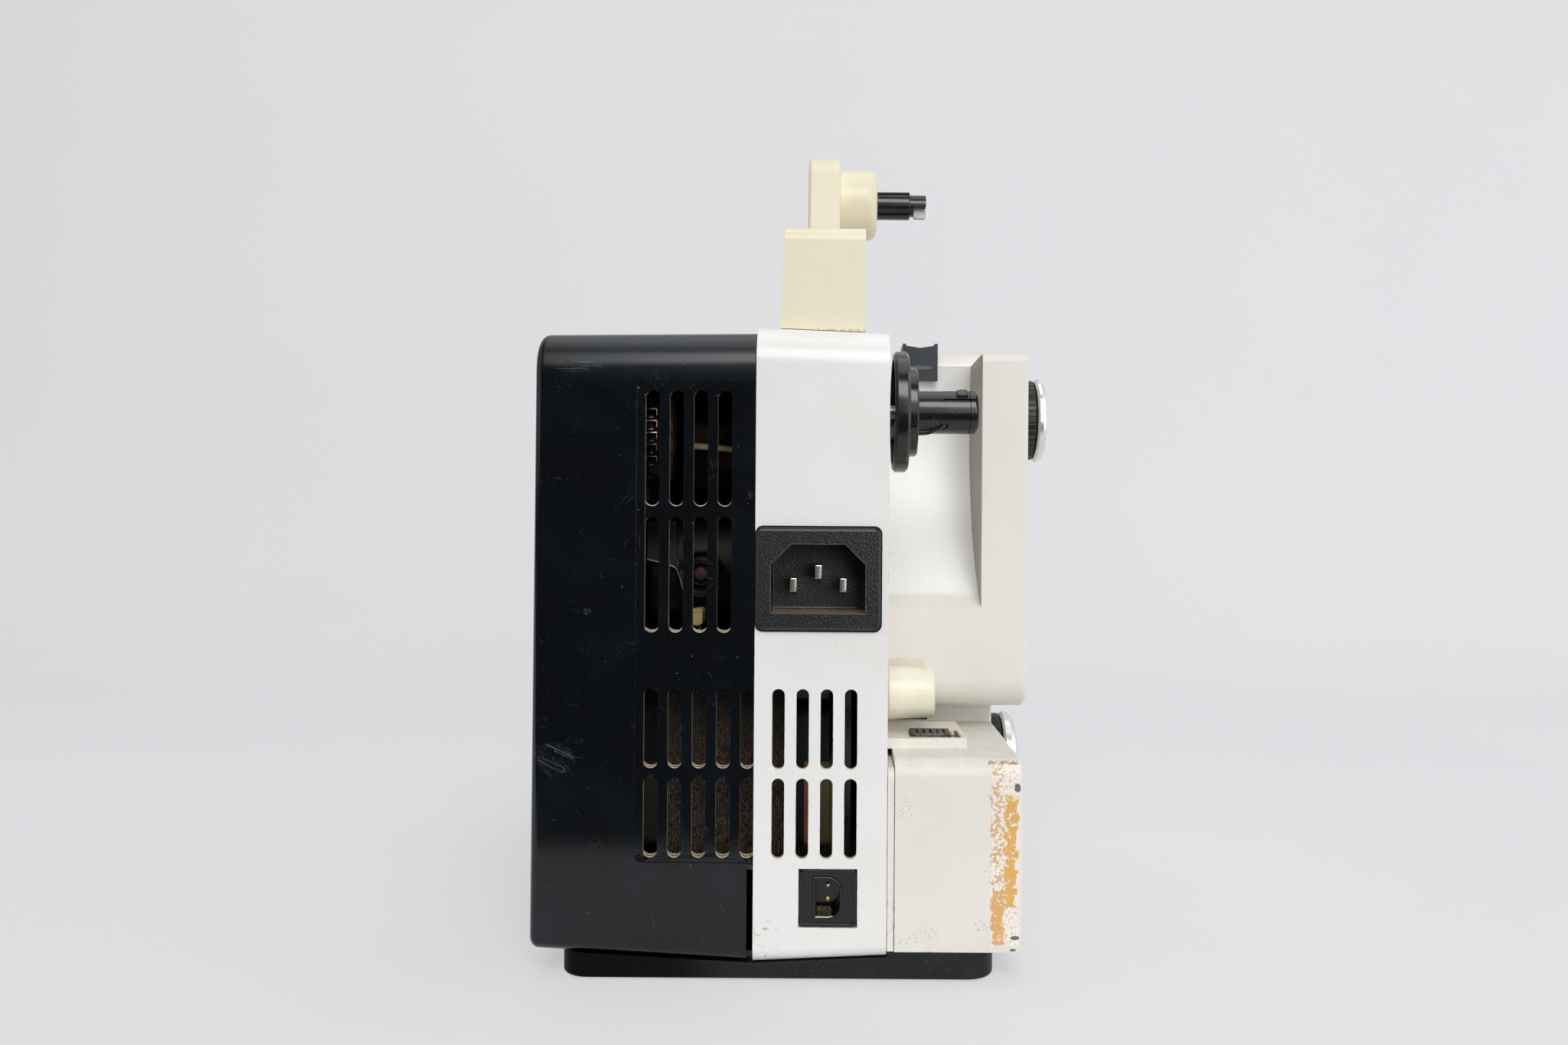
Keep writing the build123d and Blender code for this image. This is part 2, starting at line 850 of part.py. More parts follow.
# Flip key: a small steel plate on the tip's cross pin, swung out to hold the reel on
with BuildPart() as spindle_key:
    block(
        (x_key_pin - key_eye, x_tip),
        (y_head - key_thick / 2, y_head + key_thick / 2),
        (z_head - supply_radius + small_round, z_key),
    )
    tube((y_head - key_thick / 2, y_head + key_thick / 2), x_key_pin, z_key, key_eye)
    fillet(spindle_key.edges().filter_by(Axis.Y).group_by(Axis.Z)[0], small_edge)
    key_bore = key_pin_radius + shaft_gap
    tube((y_head - key_thick, y_head + key_thick), x_key_pin, z_key, key_bore, mode=Mode.SUBTRACT)
keep(spindle_key.part, "spindle_key")

# Take-up shaft: runs in the body's side wall and the chassis plate, with its belt pulley
x_disc = x_wall + disc_gap
x_flange = x_disc + disc_width
x_barrel = x_flange + flange_width
x_barrel_end = x_barrel + barrel_length
x_reel_belt = x_plate - pulley_width - plate_thick / 2
pulley_face = (x_reel_belt, x_reel_belt + pulley_width)
with BuildPart() as take_up_shaft:
    rod((pulley_face[0], x_flange), y_take_up, take_up_z, shaft_radius)
    rod(pulley_face, y_take_up, take_up_z, take_up_pulley)
    rims = take_up_shaft.edges().filter_by(GeomType.CIRCLE).sort_by(SortBy.RADIUS)[-2:]
    fillet(rims, small_round)
keep(take_up_shaft.part, "take_up_shaft")

# Take-up disc: a cupped black flange and a smaller shoulder against which the reel sits
disc_profile = [
    (x_disc + disc_hollow, shaft_radius),
    (x_disc + disc_hollow, disc_radius - wall),
    (x_disc, disc_radius - wall),
    (x_disc, disc_radius - small_edge),
    (x_disc + small_edge, disc_radius),
    (x_flange - small_edge, disc_radius),
    (x_flange, disc_radius - small_edge),
    (x_flange, flange_radius),
    (x_barrel - small_round, flange_radius),
    (x_barrel, flange_radius - small_round),
    (x_barrel, shaft_radius),
]
take_up_disc = turned(disc_profile, y_take_up, take_up_z)
keep(take_up_disc, "take_up_disc")

# Take-up barrel: the hollow black spindle with a sprung tongue between two slits
x_slit = x_barrel + tongue_start
slit_length = x_barrel_end - x_slit - wall
with BuildPart() as take_up_barrel:
    rod((x_barrel, x_barrel_end), y_take_up, take_up_z, barrel_radius)
    fillet(take_up_barrel.faces().sort_by(Axis.X)[-1].edges(), edge_round / 2)
    hollow_end = (x_barrel_end - wall / 2, x_barrel_end + wall)
    rod(hollow_end, y_take_up, take_up_z, barrel_radius / 2, mode=Mode.SUBTRACT)
    with Locations(Location((x_slit, y_take_up, take_up_z), (tongue_turn, 0, 0))):
        for side in (-1, 1):
            with Locations((slit_length / 2 + wall / 2, side * tongue_width / 2, barrel_radius)):
                Box(slit_length, tongue_slit, wall, mode=Mode.SUBTRACT)
    with Locations(Location((x_slit, y_take_up, take_up_z), (spring_turn, 0, 0))):
        with Locations((spring_hole / 2, 0, barrel_radius)):
            Box(spring_hole, spring_hole, wall, mode=Mode.SUBTRACT)
keep(take_up_barrel.part, "take_up_barrel")

# Guide roller: a tapered cream barrel that turns on a stub axle by the film's way out
y_roller = y_rear + roller_back
x_roller = x_wall + roller_stand
x_roller_end = x_roller + roller_length
small_end = roller_radius - roller_taper
roller_profile = [
    (x_roller, shaft_radius + shaft_gap),
    (x_roller, roller_radius - small_round),
    (x_roller + small_round, roller_radius),
    (x_roller_end - small_edge, small_end),
    (x_roller_end - small_edge / 3, small_end - small_edge / 3),
    (x_roller_end, small_end - small_edge),
    (x_roller_end, 0),
    (x_roller_end - wall, 0),
    (x_roller_end - wall, shaft_radius + shaft_gap),
]
guide_roller = turned(roller_profile, y_roller, roller_z)
keep(guide_roller, "guide_roller")

with BuildPart() as roller_axle:
    rod((x_wall, x_wall + roller_stand - run_gap), y_roller, roller_z, roller_radius / 2)
    rod((x_wall, x_roller_end - wall - run_gap), y_roller, roller_z, shaft_radius)
keep(roller_axle.part, "roller_axle")

# Upper film housing: an off-white moulding over the film path, hollowed at the rear for the reel
y_film = y_rear + film_back
y_film_front = y_rear + film_front
y_crown = y_rear + crown_back
reel_spot = (y_take_up, take_up_z)


def film_blank(inset, x_open):
    """Outer form of the film housing, or its hollow when inset by the wall."""
    low = film_low_round - inset
    with BuildPart() as blank:
        block(
            (x_open, x_film - inset),
            (y_film + inset, y_film_front - inset),
            (film_bottom + inset, slab_top - inset),
        )
        fillet(blank.edges().filter_by(Axis.X).group_by(Axis.Y)[0].sort_by(Axis.Z)[0], low)
        fillet(blank.edges().filter_by(Axis.X).group_by(Axis.Y)[0].sort_by(Axis.Z)[-1], low / 3)
        fillet(blank.edges().filter_by(Axis.X).group_by(Axis.Y)[-1], film_front_round - inset)
        if inset == 0:
            fillet(blank.faces().sort_by(Axis.X)[-1].edges(), film_edge)
        with BuildSketch(side_plane(x_open)):
            with Locations(reel_spot):
                Circle(recess_radius + inset)
        extrude(amount=x_slab + inset - x_open, mode=Mode.SUBTRACT)
    return blank.part


def crown_blank(inset, x_open):
    """Raised inner part of the film housing's top, or its hollow."""
    with BuildPart() as blank:
        block(
            (x_open, x_film - film_edge - inset),
            (y_crown + inset, y_film_front - film_front_round),
            (slab_top - 2 * crown_round, crown_top - inset),
        )
        top_ends = blank.edges().filter_by(Axis.X).group_by(Axis.Z)[-1]
        fillet(top_ends.sort_by(Axis.Y)[0], crown_round - inset)
        top_ends = blank.edges().filter_by(Axis.X).group_by(Axis.Z)[-1]
        fillet(top_ends.sort_by(Axis.Y)[-1], crown_top - slab_top - inset / 2)
        with BuildSketch(side_plane(x_open)):
            with Locations(reel_spot):
                Circle(recess_radius + inset)
        extrude(amount=x_slab + inset - x_open, mode=Mode.SUBTRACT)
    return blank.part


film_exit = (x_plane - sprocket_width / 2 - film_wall, x_plane + sprocket_width / 2 + film_wall)
exit_y = (y_rear + step_back + 2 * film_wall, y_knob)
with BuildPart() as film_housing:
    add(film_blank(0, x_wall + seat_gap))
    add(crown_blank(0, x_wall + seat_gap))
    add(film_blank(film_wall, x_wall - wall), mode=Mode.SUBTRACT)
    add(crown_blank(film_wall, x_wall - wall), mode=Mode.SUBTRACT)
    lens_hole = lens_radius + holder_wall + seat_gap
    tube((y_film_front - 3 * wall, y_film_front + wall), x_plane, beam_z, lens_hole, mode=Mode.SUBTRACT)
    rod((x_film - 2 * film_wall, x_film + wall), y_knob, knob_z, bush_radius, mode=Mode.SUBTRACT)
    block(film_exit, exit_y, (film_bottom - wall, film_bottom + 2 * film_wall), mode=Mode.SUBTRACT)
    block(
        (x_plane - chute_width / 2 + chute_wall, x_plane + chute_width / 2 - chute_wall),
        (y_rear + chute_back + 3 * wall, y_rear + chute_back + chute_length - chute_wall),
        (slab_top - film_wall, crown_top + wall),
        mode=Mode.SUBTRACT,
    )
keep(film_housing.part, "film_housing")

# Film chute: a black funnel clipped over the housing's rear top edge
y_chute = y_rear + chute_back
x_chute = (x_plane - chute_width / 2, x_plane + chute_width / 2)
x_channel = (x_chute[0] + chute_wall, x_chute[1] - chute_wall)
chute_seat = crown_top + seat_gap
chute_top = chute_seat + chute_ear
chute_side = [
    (y_chute, crown_top - chute_hook),
    (y_chute + chute_wall, crown_top - chute_hook),
    (y_chute + chute_wall, chute_seat),
    (y_chute + chute_length, chute_seat),
    (y_chute + chute_length, chute_top - chute_ear / 3),
    (y_chute + chute_length - chute_wall, chute_top),
    (y_chute, chute_top),
]
with BuildPart() as film_chute:
    with BuildSketch(side_plane(x_chute[0])):
        Polygon(*chute_side, align=None)
    extrude(amount=chute_width)
    with BuildSketch(side_plane(x_channel[0])):
        with Locations((y_chute + chute_wall + chute_length, chute_seat + chute_wall / 2)):
            Ellipse(chute_length, chute_ear + chute_wall)
    extrude(amount=x_channel[1] - x_channel[0], mode=Mode.SUBTRACT)
    block(
        x_channel,
        (y_chute + 3 * wall, y_chute + chute_length - chute_wall),
        (chute_seat - wall, chute_top + wall),
        mode=Mode.SUBTRACT,
    )
    with BuildSketch(rear_plane(y_chute - wall)):
        Polygon(
            (x_channel[0], chute_top - chute_ear / 3),
            (x_plane, chute_top - chute_dip),
            (x_channel[1], chute_top - chute_ear / 3),
            (x_channel[1], chute_top + wall),
            (x_channel[0], chute_top + wall),
            align=None,
        )
    extrude(amount=-2 * wall - chute_wall, mode=Mode.SUBTRACT)
keep(film_chute.part, "film_chute")

# Control housing: the low off-white box with a step, open towards the body
y_box = y_rear + box_back
y_step = y_rear + step_back
x_control = x_wall + box_flange + seat_gap
step_top = film_bottom - seat_gap
outer_side = [
    (y_box, box_bottom),
    (y_film_front, box_bottom),
    (y_film_front, step_top),
    (y_step, step_top),
    (y_step, box_top),
    (y_box, box_top),
]
inner_side = [
    (y_box + film_wall, box_bottom + film_wall),
    (y_film_front - film_wall, box_bottom + film_wall),
    (y_film_front - film_wall, step_top - film_wall),
    (y_step + film_wall, step_top - film_wall),
    (y_step + film_wall, box_top - film_wall),
    (y_box + film_wall, box_top - film_wall),
]
y_control = y_rear + control_back
y_switch = y_rear + switch_back
x_slide = x_part + body_width + slider_left
slide_room = (x_slide - run_gap, x_slide + slider_length + slider_travel + run_gap)
slide_y = (y_switch + 3 * wall / 2, y_switch + 3 * wall / 2 + slider_depth)
film_slot = (x_plane - film_slot_width / 2, x_plane + film_slot_width / 2 - 2 * film_wall)
film_slot_z = (box_top + film_gap, box_top + film_gap + film_slot_height)
with BuildPart() as control_housing:
    with BuildSketch(side_plane(x_control)):
        Polygon(*outer_side, align=None)
    extrude(amount=x_box - x_control)
    long_edges = control_housing.edges().filter_by(Axis.X)
    fillet(long_edges.group_by(Axis.Y)[0].sort_by(Axis.Z)[-1], box_round)
    fillet(control_housing.edges().filter_by(Axis.X).group_by(Axis.Y)[-1].sort_by(Axis.Z)[0], box_round)
    fillet(control_housing.faces().sort_by(Axis.X)[-1].edges(), small_edge)
    with BuildSketch(side_plane(x_control - wall)):
        Polygon(*inner_side, align=None)
    extrude(amount=x_box - x_control + wall - film_wall, mode=Mode.SUBTRACT)
    rod((x_box - 2 * film_wall, x_box + wall), y_control, control_z, bush_radius, mode=Mode.SUBTRACT)
    block(slide_room, slide_y, (box_top - 2 * film_wall, box_top + wall), mode=Mode.SUBTRACT)
    block(film_slot, (y_step - wall, y_step + 2 * film_wall), film_slot_z, mode=Mode.SUBTRACT)
    block(film_exit, exit_y, (step_top - 2 * film_wall, step_top + wall), mode=Mode.SUBTRACT)
keep(control_housing.part, "control_housing")

# Mounting flange between the body and the control housing, standing a little short of it
with BuildPart() as box_plate:
    block(
        (x_wall + seat_gap, x_control - seat_gap),
        (y_box, y_film_front - film_wall),
        (box_bottom + seat_gap, box_top - film_wall),
    )
    fillet(box_plate.edges().filter_by(Axis.X).group_by(Axis.Y)[0].sort_by(Axis.Z)[-1], film_wall)
keep(box_plate.part, "box_plate")

# Raised switch plate on the box's top, slotted for the slide switch
x_switch = x_wall + seat_gap
with BuildPart() as switch_plate:
    block(
        (x_switch, x_switch + switch_width),
        (y_switch, y_switch + switch_depth),
        (box_top, box_top + switch_raise),
    )
    fillet(switch_plate.edges().group_by(Axis.Z)[-1], small_round)
    block(slide_room, slide_y, (box_top - wall, box_top + switch_raise + wall), mode=Mode.SUBTRACT)
keep(switch_plate.part, "switch_plate")

# Slide switch: a ribbed black slider that moves across the machine
slide_top = box_top + switch_raise + slider_height / 3
with BuildPart() as slide_switch:
    block(
        (x_slide, x_slide + slider_length),
        (slide_y[0] + run_gap, slide_y[1] - run_gap),
        (box_top - film_wall - wall, slide_top),
    )
    fillet(slide_switch.edges().group_by(Axis.Z)[-1], small_round)
    rib_y = (slide_y[0] + wall, slide_y[1] - wall)
    for rib in range(slider_ribs):
        x = x_slide + slider_length * (rib + 1) / (slider_ribs + 1)
        rib_cut = (slide_top - small_edge, slide_top + wall)
        block((x - small_round, x + small_round), rib_y, rib_cut, mode=Mode.SUBTRACT)
keep(slide_switch.part, "slide_switch")

# Switch body below the slider, fixed in the box
with BuildPart() as switch_body:
    block(
        (slide_room[0] - wall, slide_room[1] + wall),
        slide_y,
        (box_top - switch_deep, box_top - film_wall - wall - run_gap),
    )
    block(
        (slide_room[0] - wall, slide_room[0] - wall / 2),
        slide_y,
        (box_top - film_wall - wall - run_gap, box_top - film_wall),
    )
    block(
        (slide_room[1] + wall / 2, slide_room[1] + wall),
        slide_y,
        (box_top - film_wall - wall - run_gap, box_top - film_wall),
    )
keep(switch_body.part, "switch_body")


def knob(x_base, y, z, radius, depth, name):
    """Fluted black skirt of a rotary knob, bored for its shaft."""
    with BuildPart() as skirt:
        rod((x_base, x_base + depth), y, z, radius)
        chamfer(skirt.faces().sort_by(Axis.X)[-1].edges(), small_edge)
        with BuildSketch(side_plane(x_base + knob_collar)):
            with Locations((y, z)):
                with PolarLocations(radius + flute_radius / 2, knob_flutes):
                    Circle(flute_radius)
        extrude(amount=depth, mode=Mode.SUBTRACT)
        rod((x_base - wall, x_base + depth * bore_share), y, z, shaft_radius, mode=Mode.SUBTRACT)
    keep(skirt.part, name)


def knob_cap(x_base, y, z, radius, depth, name):
    """Dished silver cap that closes a rotary knob."""
    profile = [(x_base, 0), (x_base, radius - small_edge), (x_base + small_edge, radius)]
    profile += [(x_base + depth * out, radius - depth * inward) for out, inward in cap_curve]
    profile.append((x_base + depth * cap_dish, 0))
    keep(turned(profile, y, z), name)


# Inching knob at the top of the film side; its shaft carries the film sprocket
x_inching = x_film + run_gap
skirt_end = x_inching + knob_skirt
knob(x_inching, y_knob, knob_z, knob_radius - knob_lip, knob_skirt, "inching_knob")
knob_cap(skirt_end, y_knob, knob_z, knob_radius, x_film + knob_height - skirt_end, "inching_knob_cap")

# Film sprocket: two rims of small teeth beside a cut-back middle, on a shaft with its pulley
track_half = sprocket_width / 2
waist_radius = sprocket_radius - sprocket_step
rim_radius = sprocket_radius + small_edge
sprocket_profile = [
    (x_plane - track_half - small_edge, shaft_radius),
    (x_plane - track_half - small_edge, rim_radius),
    (x_plane - track_half, rim_radius),
    (x_plane - track_half, sprocket_radius),
    (x_plane - track_half + tooth_track, sprocket_radius),
    (x_plane - track_half + tooth_track, waist_radius),
    (x_plane + track_half - small_edge, waist_radius),
    (x_plane + track_half - small_edge, sprocket_radius),
    (x_plane + track_half, sprocket_radius),
    (x_plane + track_half, rim_radius),
    (x_plane + track_half + small_edge, rim_radius),
    (x_plane + track_half + small_edge, shaft_radius),
]
x_timing = x_part + timing_offset
with BuildPart() as film_sprocket:
    add(turned(sprocket_profile, y_knob, knob_z))
    rod((x_timing, x_inching + knob_skirt * bore_share), y_knob, knob_z, shaft_radius)
    rod((x_timing, x_timing + pulley_width), y_knob, knob_z, sprocket_pulley)
    with Locations(Location((x_plane - track_half + tooth_track / 2, y_knob, knob_z), (0, 90, 0))):
        with PolarLocations(sprocket_radius, sprocket_teeth):
            Box(tooth_size, tooth_size, tooth_size)
keep(film_sprocket.part, "film_sprocket")

# Main control knob low on the film side, with its rotary switch inside the box
x_main = x_box + run_gap
main_end = x_main + control_skirt
knob(x_main, y_control, control_z, control_radius - knob_lip, control_skirt, "control_knob")
cap_depth = x_box + control_height - main_end
knob_cap(main_end, y_control, control_z, control_radius, cap_depth, "control_knob_cap")

with BuildPart() as control_shaft:
    rod((x_box - switch_shaft, x_main + control_skirt * bore_share), y_control, control_z, shaft_radius)
keep(control_shaft.part, "control_shaft")

with BuildPart() as rotary_switch:
    rod((x_control, x_box - film_wall - seat_gap), y_control, control_z, wafer_inner + run_gap)
    rod((x_box - switch_shaft - run_gap, x_box), y_control, control_z, bush_radius, mode=Mode.SUBTRACT)
    for wafer in range(wafers):
        with BuildSketch(side_plane(x_control + (wafer + 1) * wafer_pitch)):
            with Locations((y_control, control_z)):
                Circle(wafer_outer)
                Circle(wafer_inner, mode=Mode.SUBTRACT)
        extrude(amount=plate_thick)
keep(rotary_switch.part, "rotary_switch")

# Case screws: three in the black cover's flat side and four in the film side
film_screw_spots = [
    (x_film, y_film + screw_inset, film_bottom + screw_inset),
    (x_film, y_film_front - screw_inset, film_bottom + screw_inset),
    (x_box, y_box + screw_inset, box_bottom + screw_inset),
    (x_box, y_film_front - screw_inset, box_bottom + screw_inset),
]
screw_heads = [(x + seat_gap, x + seat_gap + screw_head_thick, y, z) for x, y, z in film_screw_spots]
screw_heads += [(cover_face(z) + screw_head_thick, cover_face(z), y, z) for y, z in cover_screw_spots]
with BuildPart() as case_screws:
    for x_seat, x_outer, y, z in screw_heads:
        rod(sorted((x_seat, x_outer)), y, z, screw_head)
        groove = sorted((x_outer - (x_outer - x_seat) / 3, 2 * x_outer - x_seat))
        slot_y = (y - screw_slot, y + screw_slot)
        block(groove, slot_y, (z - screw_head, z + screw_head), mode=Mode.SUBTRACT)
keep(case_screws.part, "case_screws")

# Chassis plate: a steel plate on four posts inside the white body, with the motor's bracket
y_motor = y_rear + motor_back
plate_left = (y_rear + plate_inset, y_rear + plate_notch)
plate_right = y_front - plate_inset
plate_low = case_bottom + 3 * wall
plate_high = roof(x_wall) - 2 * wall
notch_top = take_up_z - plate_step
plate_side = [
    (plate_left[0], notch_top),
    (plate_left[0], plate_high),
    (plate_right, plate_high),
    (plate_right, plate_low),
    (plate_left[1], plate_low),
    (plate_left[1], notch_top),
]
post_spots = [
    (plate_left[0] + post_inset, notch_top + post_inset),
    (plate_left[1] + post_inset, plate_low + post_inset),
    (plate_right - post_inset, plate_low + post_inset),
    (plate_right - post_inset, plate_high - post_inset),
]
motor_end = x_part - motor_left + motor_length
bracket = (motor_end + seat_gap, motor_end + seat_gap + plate_thick)
bracket_spots = [
    (-bracket_far, bracket_near),
    (bracket_far, bracket_far),
    (-bracket_far, -bracket_far),
    (bracket_far, -bracket_far),
]
with BuildPart() as chassis_plate:
    with BuildSketch(side_plane(x_plate)):
        Polygon(*plate_side, align=None)
    extrude(amount=plate_thick)
    for y, z in post_spots:
        rod((x_plate, x_wall - wall - seat_gap), y, z, screw_post)
    block(
        bracket,
        (y_motor - bracket_half, y_motor + bracket_half),
        (motor_z - bracket_half, motor_z + bracket_half),
    )
    for y, z in bracket_spots:
        rod((bracket[0], x_plate + plate_thick), y_motor + y, motor_z + z, screw_post)
    rod((bracket[0] - wall, bracket[1] + wall), y_motor, motor_z, 2 * shaft_radius, mode=Mode.SUBTRACT)
    for y, z in ((y_take_up, take_up_z), (y_knob, knob_z), (y_shutter, z_shutter)):
        rod((x_plate - wall, x_plate + 2 * wall), y, z, bush_radius, mode=Mode.SUBTRACT)
    rod((x_plate - wall, x_plate + 2 * wall), y_beam, beam_z, lens_radius, mode=Mode.SUBTRACT)
keep(chassis_plate.part, "chassis_plate")

# Motor, its rotor shaft with the drive pulley, and the cooling fan
x_motor = x_part - motor_left
x_drive = x_part + drive_offset
x_fan = x_motor - run_gap - fan_width - wall
with BuildPart() as motor:
    rod((x_motor, motor_end), y_motor, motor_z, motor_radius)
    fillet(motor.edges().filter_by(GeomType.CIRCLE), edge_round)
    rod((x_motor - wall, motor_end + wall), y_motor, motor_z, bush_radius, mode=Mode.SUBTRACT)
keep(motor.part, "motor")

with BuildPart() as motor_shaft:
    rod((x_fan, x_drive + pulley_width), y_motor, motor_z, shaft_radius)
    rod((x_drive, x_drive + pulley_width), y_motor, motor_z, motor_pulley)
keep(motor_shaft.part, "motor_shaft")

with BuildPart() as cooling_fan:
    rod((x_fan, x_fan + fan_sheet), y_motor, motor_z, fan_radius)
    rod((x_fan, x_fan + fan_width), y_motor, motor_z, fan_hub)
    for blade in range(fan_blades):
        with Locations(Location((x_fan, y_motor, motor_z), (360 * blade / fan_blades, 0, 0))):
            with Locations((fan_width / 2, 0, (fan_radius + fan_hub) / 2 - fan_sheet / 2)):
                Box(fan_width, fan_sheet, fan_radius - fan_hub)
    rod((x_fan - wall, x_fan + fan_width + wall), y_motor, motor_z, shaft_radius, mode=Mode.SUBTRACT)
keep(cooling_fan.part, "cooling_fan")

# Shutter: a thin disc with two windows, on a shaft that carries three pulleys
x_shutter = x_plate + plate_thick + wall
with BuildPart() as shutter:
    rod((x_timing, x_shutter + wall), y_shutter, z_shutter, shaft_radius)
    rod((x_shutter, x_shutter + shutter_thick), y_shutter, z_shutter, shutter_radius)
    rod((x_timing, x_timing + pulley_width), y_shutter, z_shutter, small_pulley)
    rod((x_drive, x_drive + pulley_width), y_shutter, z_shutter, shutter_pulley)
    rod(pulley_face, y_shutter, z_shutter, small_pulley)
    with BuildSketch(side_plane(x_shutter - wall / 2)):
        for start in (0, 180):
            with Locations((y_shutter, z_shutter)):
                SlotArc(CenterArc((0, 0), window_middle, start, shutter_window), window_width)
    extrude(amount=wall, mode=Mode.SUBTRACT)
keep(shutter.part, "shutter")

# Drive belts: motor to shutter, shutter to sprocket, shutter to take-up shaft
motor_spot = (y_motor, motor_z)
shutter_spot = (y_shutter, z_shutter)
knob_spot = (y_knob, knob_z)
belt_inset = (pulley_width - belt_width) / 2
keep(belt(motor_spot, motor_pulley, shutter_spot, shutter_pulley, x_drive + belt_inset), "motor_belt")
keep(belt(shutter_spot, small_pulley, knob_spot, sprocket_pulley, x_timing + belt_inset), "sprocket_belt")
keep(belt(reel_spot, take_up_pulley, shutter_spot, small_pulley, x_reel_belt + belt_inset), "take_up_belt")

# Transformer: a laminated core, the wound coil that shows at both its sides, and a steel bracket
y_core = y_rear + core_back
x_core = x_part - core_stack * core_share
x_core_end = x_core + core_stack
with BuildPart() as transformer_core:
    block((x_core, x_core_end), (y_core, y_core + core_depth), (core_low, core_top))
    for y in (y_core + bolt_inset, y_core + core_depth - bolt_inset):
        for z in (core_low + bolt_inset, core_top - bolt_inset):
            rod((x_core - wall, x_core_end + wall), y, z, screw_radius, mode=Mode.SUBTRACT)
keep(transformer_core.part, "transformer_core")

coil_sides = [
    (x_core - seat_gap - coil_bulge, x_core - seat_gap),
    (x_core_end + seat_gap, x_core_end + seat_gap + coil_bulge),
]
with BuildPart() as transformer_coil:
    for x_range in coil_sides:
        block(
            x_range,
            (y_core + core_depth / 5, y_core + core_depth * 4 / 5),
            (core_low + core_height / 6, core_top - core_height / 6),
        )
    fillet(transformer_coil.edges().filter_by(Axis.X), coil_round)
keep(transformer_coil.part, "transformer_coil")

foot_floor = body_floor(x_part + core_stack / 2) + wall + seat_gap
with BuildPart() as transformer_bracket:
    block(
        (x_core - foot_lip, x_core_end + foot_lip),
        (y_core - wall, y_core + core_depth + wall),
        (core_low - seat_gap - plate_thick, core_low - seat_gap),
    )
    for y in (y_core - wall, y_core + core_depth + wall - plate_thick):
        block(
            (x_part + wall, x_core_end + foot_lip),
            (y, y + plate_thick),
            (foot_floor, core_low - seat_gap - plate_thick),
        )
keep(transformer_bracket.part, "transformer_bracket")

# Lamp shelf: a plate on the chassis plate that carries the lamp and the condenser's ring
x_rim = x_timing - wall
x_neck = x_rim - reflector_depth
neck_radius = reflector_radius * neck_share
capsule_radius = neck_radius - glass_thick - run_gap
shelf_low = beam_z - reflector_radius - seat_gap - plate_thick
ring = (x_drive - ring_lip, x_drive - ring_lip + ring_width)
with BuildPart() as lamp_shelf:
    block(
        (x_neck - holder_width - wall, x_plate - seat_gap),
        (y_beam - holder_half - wall, y_beam + 2 * holder_half),
        (shelf_low, shelf_low + plate_thick),
    )
    block(ring, (y_beam - ring_foot, y_beam + ring_foot), (shelf_low, beam_z - lens_radius))
    rod(ring, y_beam, beam_z, lens_radius + ring_wall)
    open_ring = (ring[0] - wall, ring[1] + wall)
    rod(open_ring, y_beam, beam_z, condenser_radius + shaft_gap, mode=Mode.SUBTRACT)
keep(lamp_shelf.part, "lamp_shelf")

with BuildPart() as condenser_lens:
    rod((ring[0] + ring_lip, ring[1] - ring_lip), y_beam, beam_z, condenser_radius)
    fillet(condenser_lens.edges().filter_by(GeomType.CIRCLE), glass_thick)
keep(condenser_lens.part, "condenser_lens")

# Lamp: a glass bowl reflector, its small capsule and the ceramic holder behind it
bowl = []
for k in range(bowl_steps + 1):
    out = k / bowl_steps
    bowl_radius = neck_radius + (reflector_radius - neck_radius) * out
    bowl.append((x_rim - reflector_depth * (1 - out**2), bowl_radius))
bowl_back = [(x - glass_thick, radius) for x, radius in bowl[:-1]] + bowl[-1:]
bowl_inner = [(x, radius - glass_thick) for x, radius in reversed(bowl)]
lamp_reflector = turned(bowl_back + bowl_inner, y_beam, beam_z)
keep(lamp_reflector, "lamp_reflector")

with BuildPart() as lamp_bulb:
    capsule = (x_neck - glass_thick, x_neck + reflector_depth * bulb_share)
    rod(capsule, y_beam, beam_z, capsule_radius)
    fillet(lamp_bulb.faces().sort_by(Axis.X)[-1].edges(), capsule_radius - small_edge)
keep(lamp_bulb.part, "lamp_bulb")

with BuildPart() as lamp_holder:
    block(
        (x_neck - holder_width, x_neck - glass_thick - seat_gap),
        (y_beam - holder_half, y_beam + holder_half),
        (shelf_low + plate_thick + seat_gap, beam_z + neck_radius),
    )
    fillet(lamp_holder.edges().filter_by(Axis.X), edge_round)
keep(lamp_holder.part, "lamp_holder")

# Terminal strip: a block of screw terminals hung below the cover's top, behind the first slot
x_strip = x_part - slot_first
strip_top = z_top - cover_drop - cover_fall - wall - seat_gap
strip_low = long_rows[0] - long_slot * strip_share
strip_y = (y_rear + strip_back, y_rear + strip_back + strip_depth)
screw_y = (strip_y[0] - screw_radius, strip_y[0] + small_round)
with BuildPart() as terminal_strip:
    block((x_strip - strip_half, x_strip + strip_half), strip_y, (strip_low, strip_top))
    for step in range(strip_screws):
        z = strip_low + strip_half + step * strip_pitch
        tube(screw_y, x_strip, z, screw_head)
        groove_z = (z + strip_pitch / 2 - small_round, z + strip_pitch / 2 + small_round)
        strip_cut = (x_strip - strip_half - wall, x_strip + strip_half + wall)
        block(strip_cut, (strip_y[0] - wall, strip_y[0] + wall), groove_z, mode=Mode.SUBTRACT)
keep(terminal_strip.part, "terminal_strip")

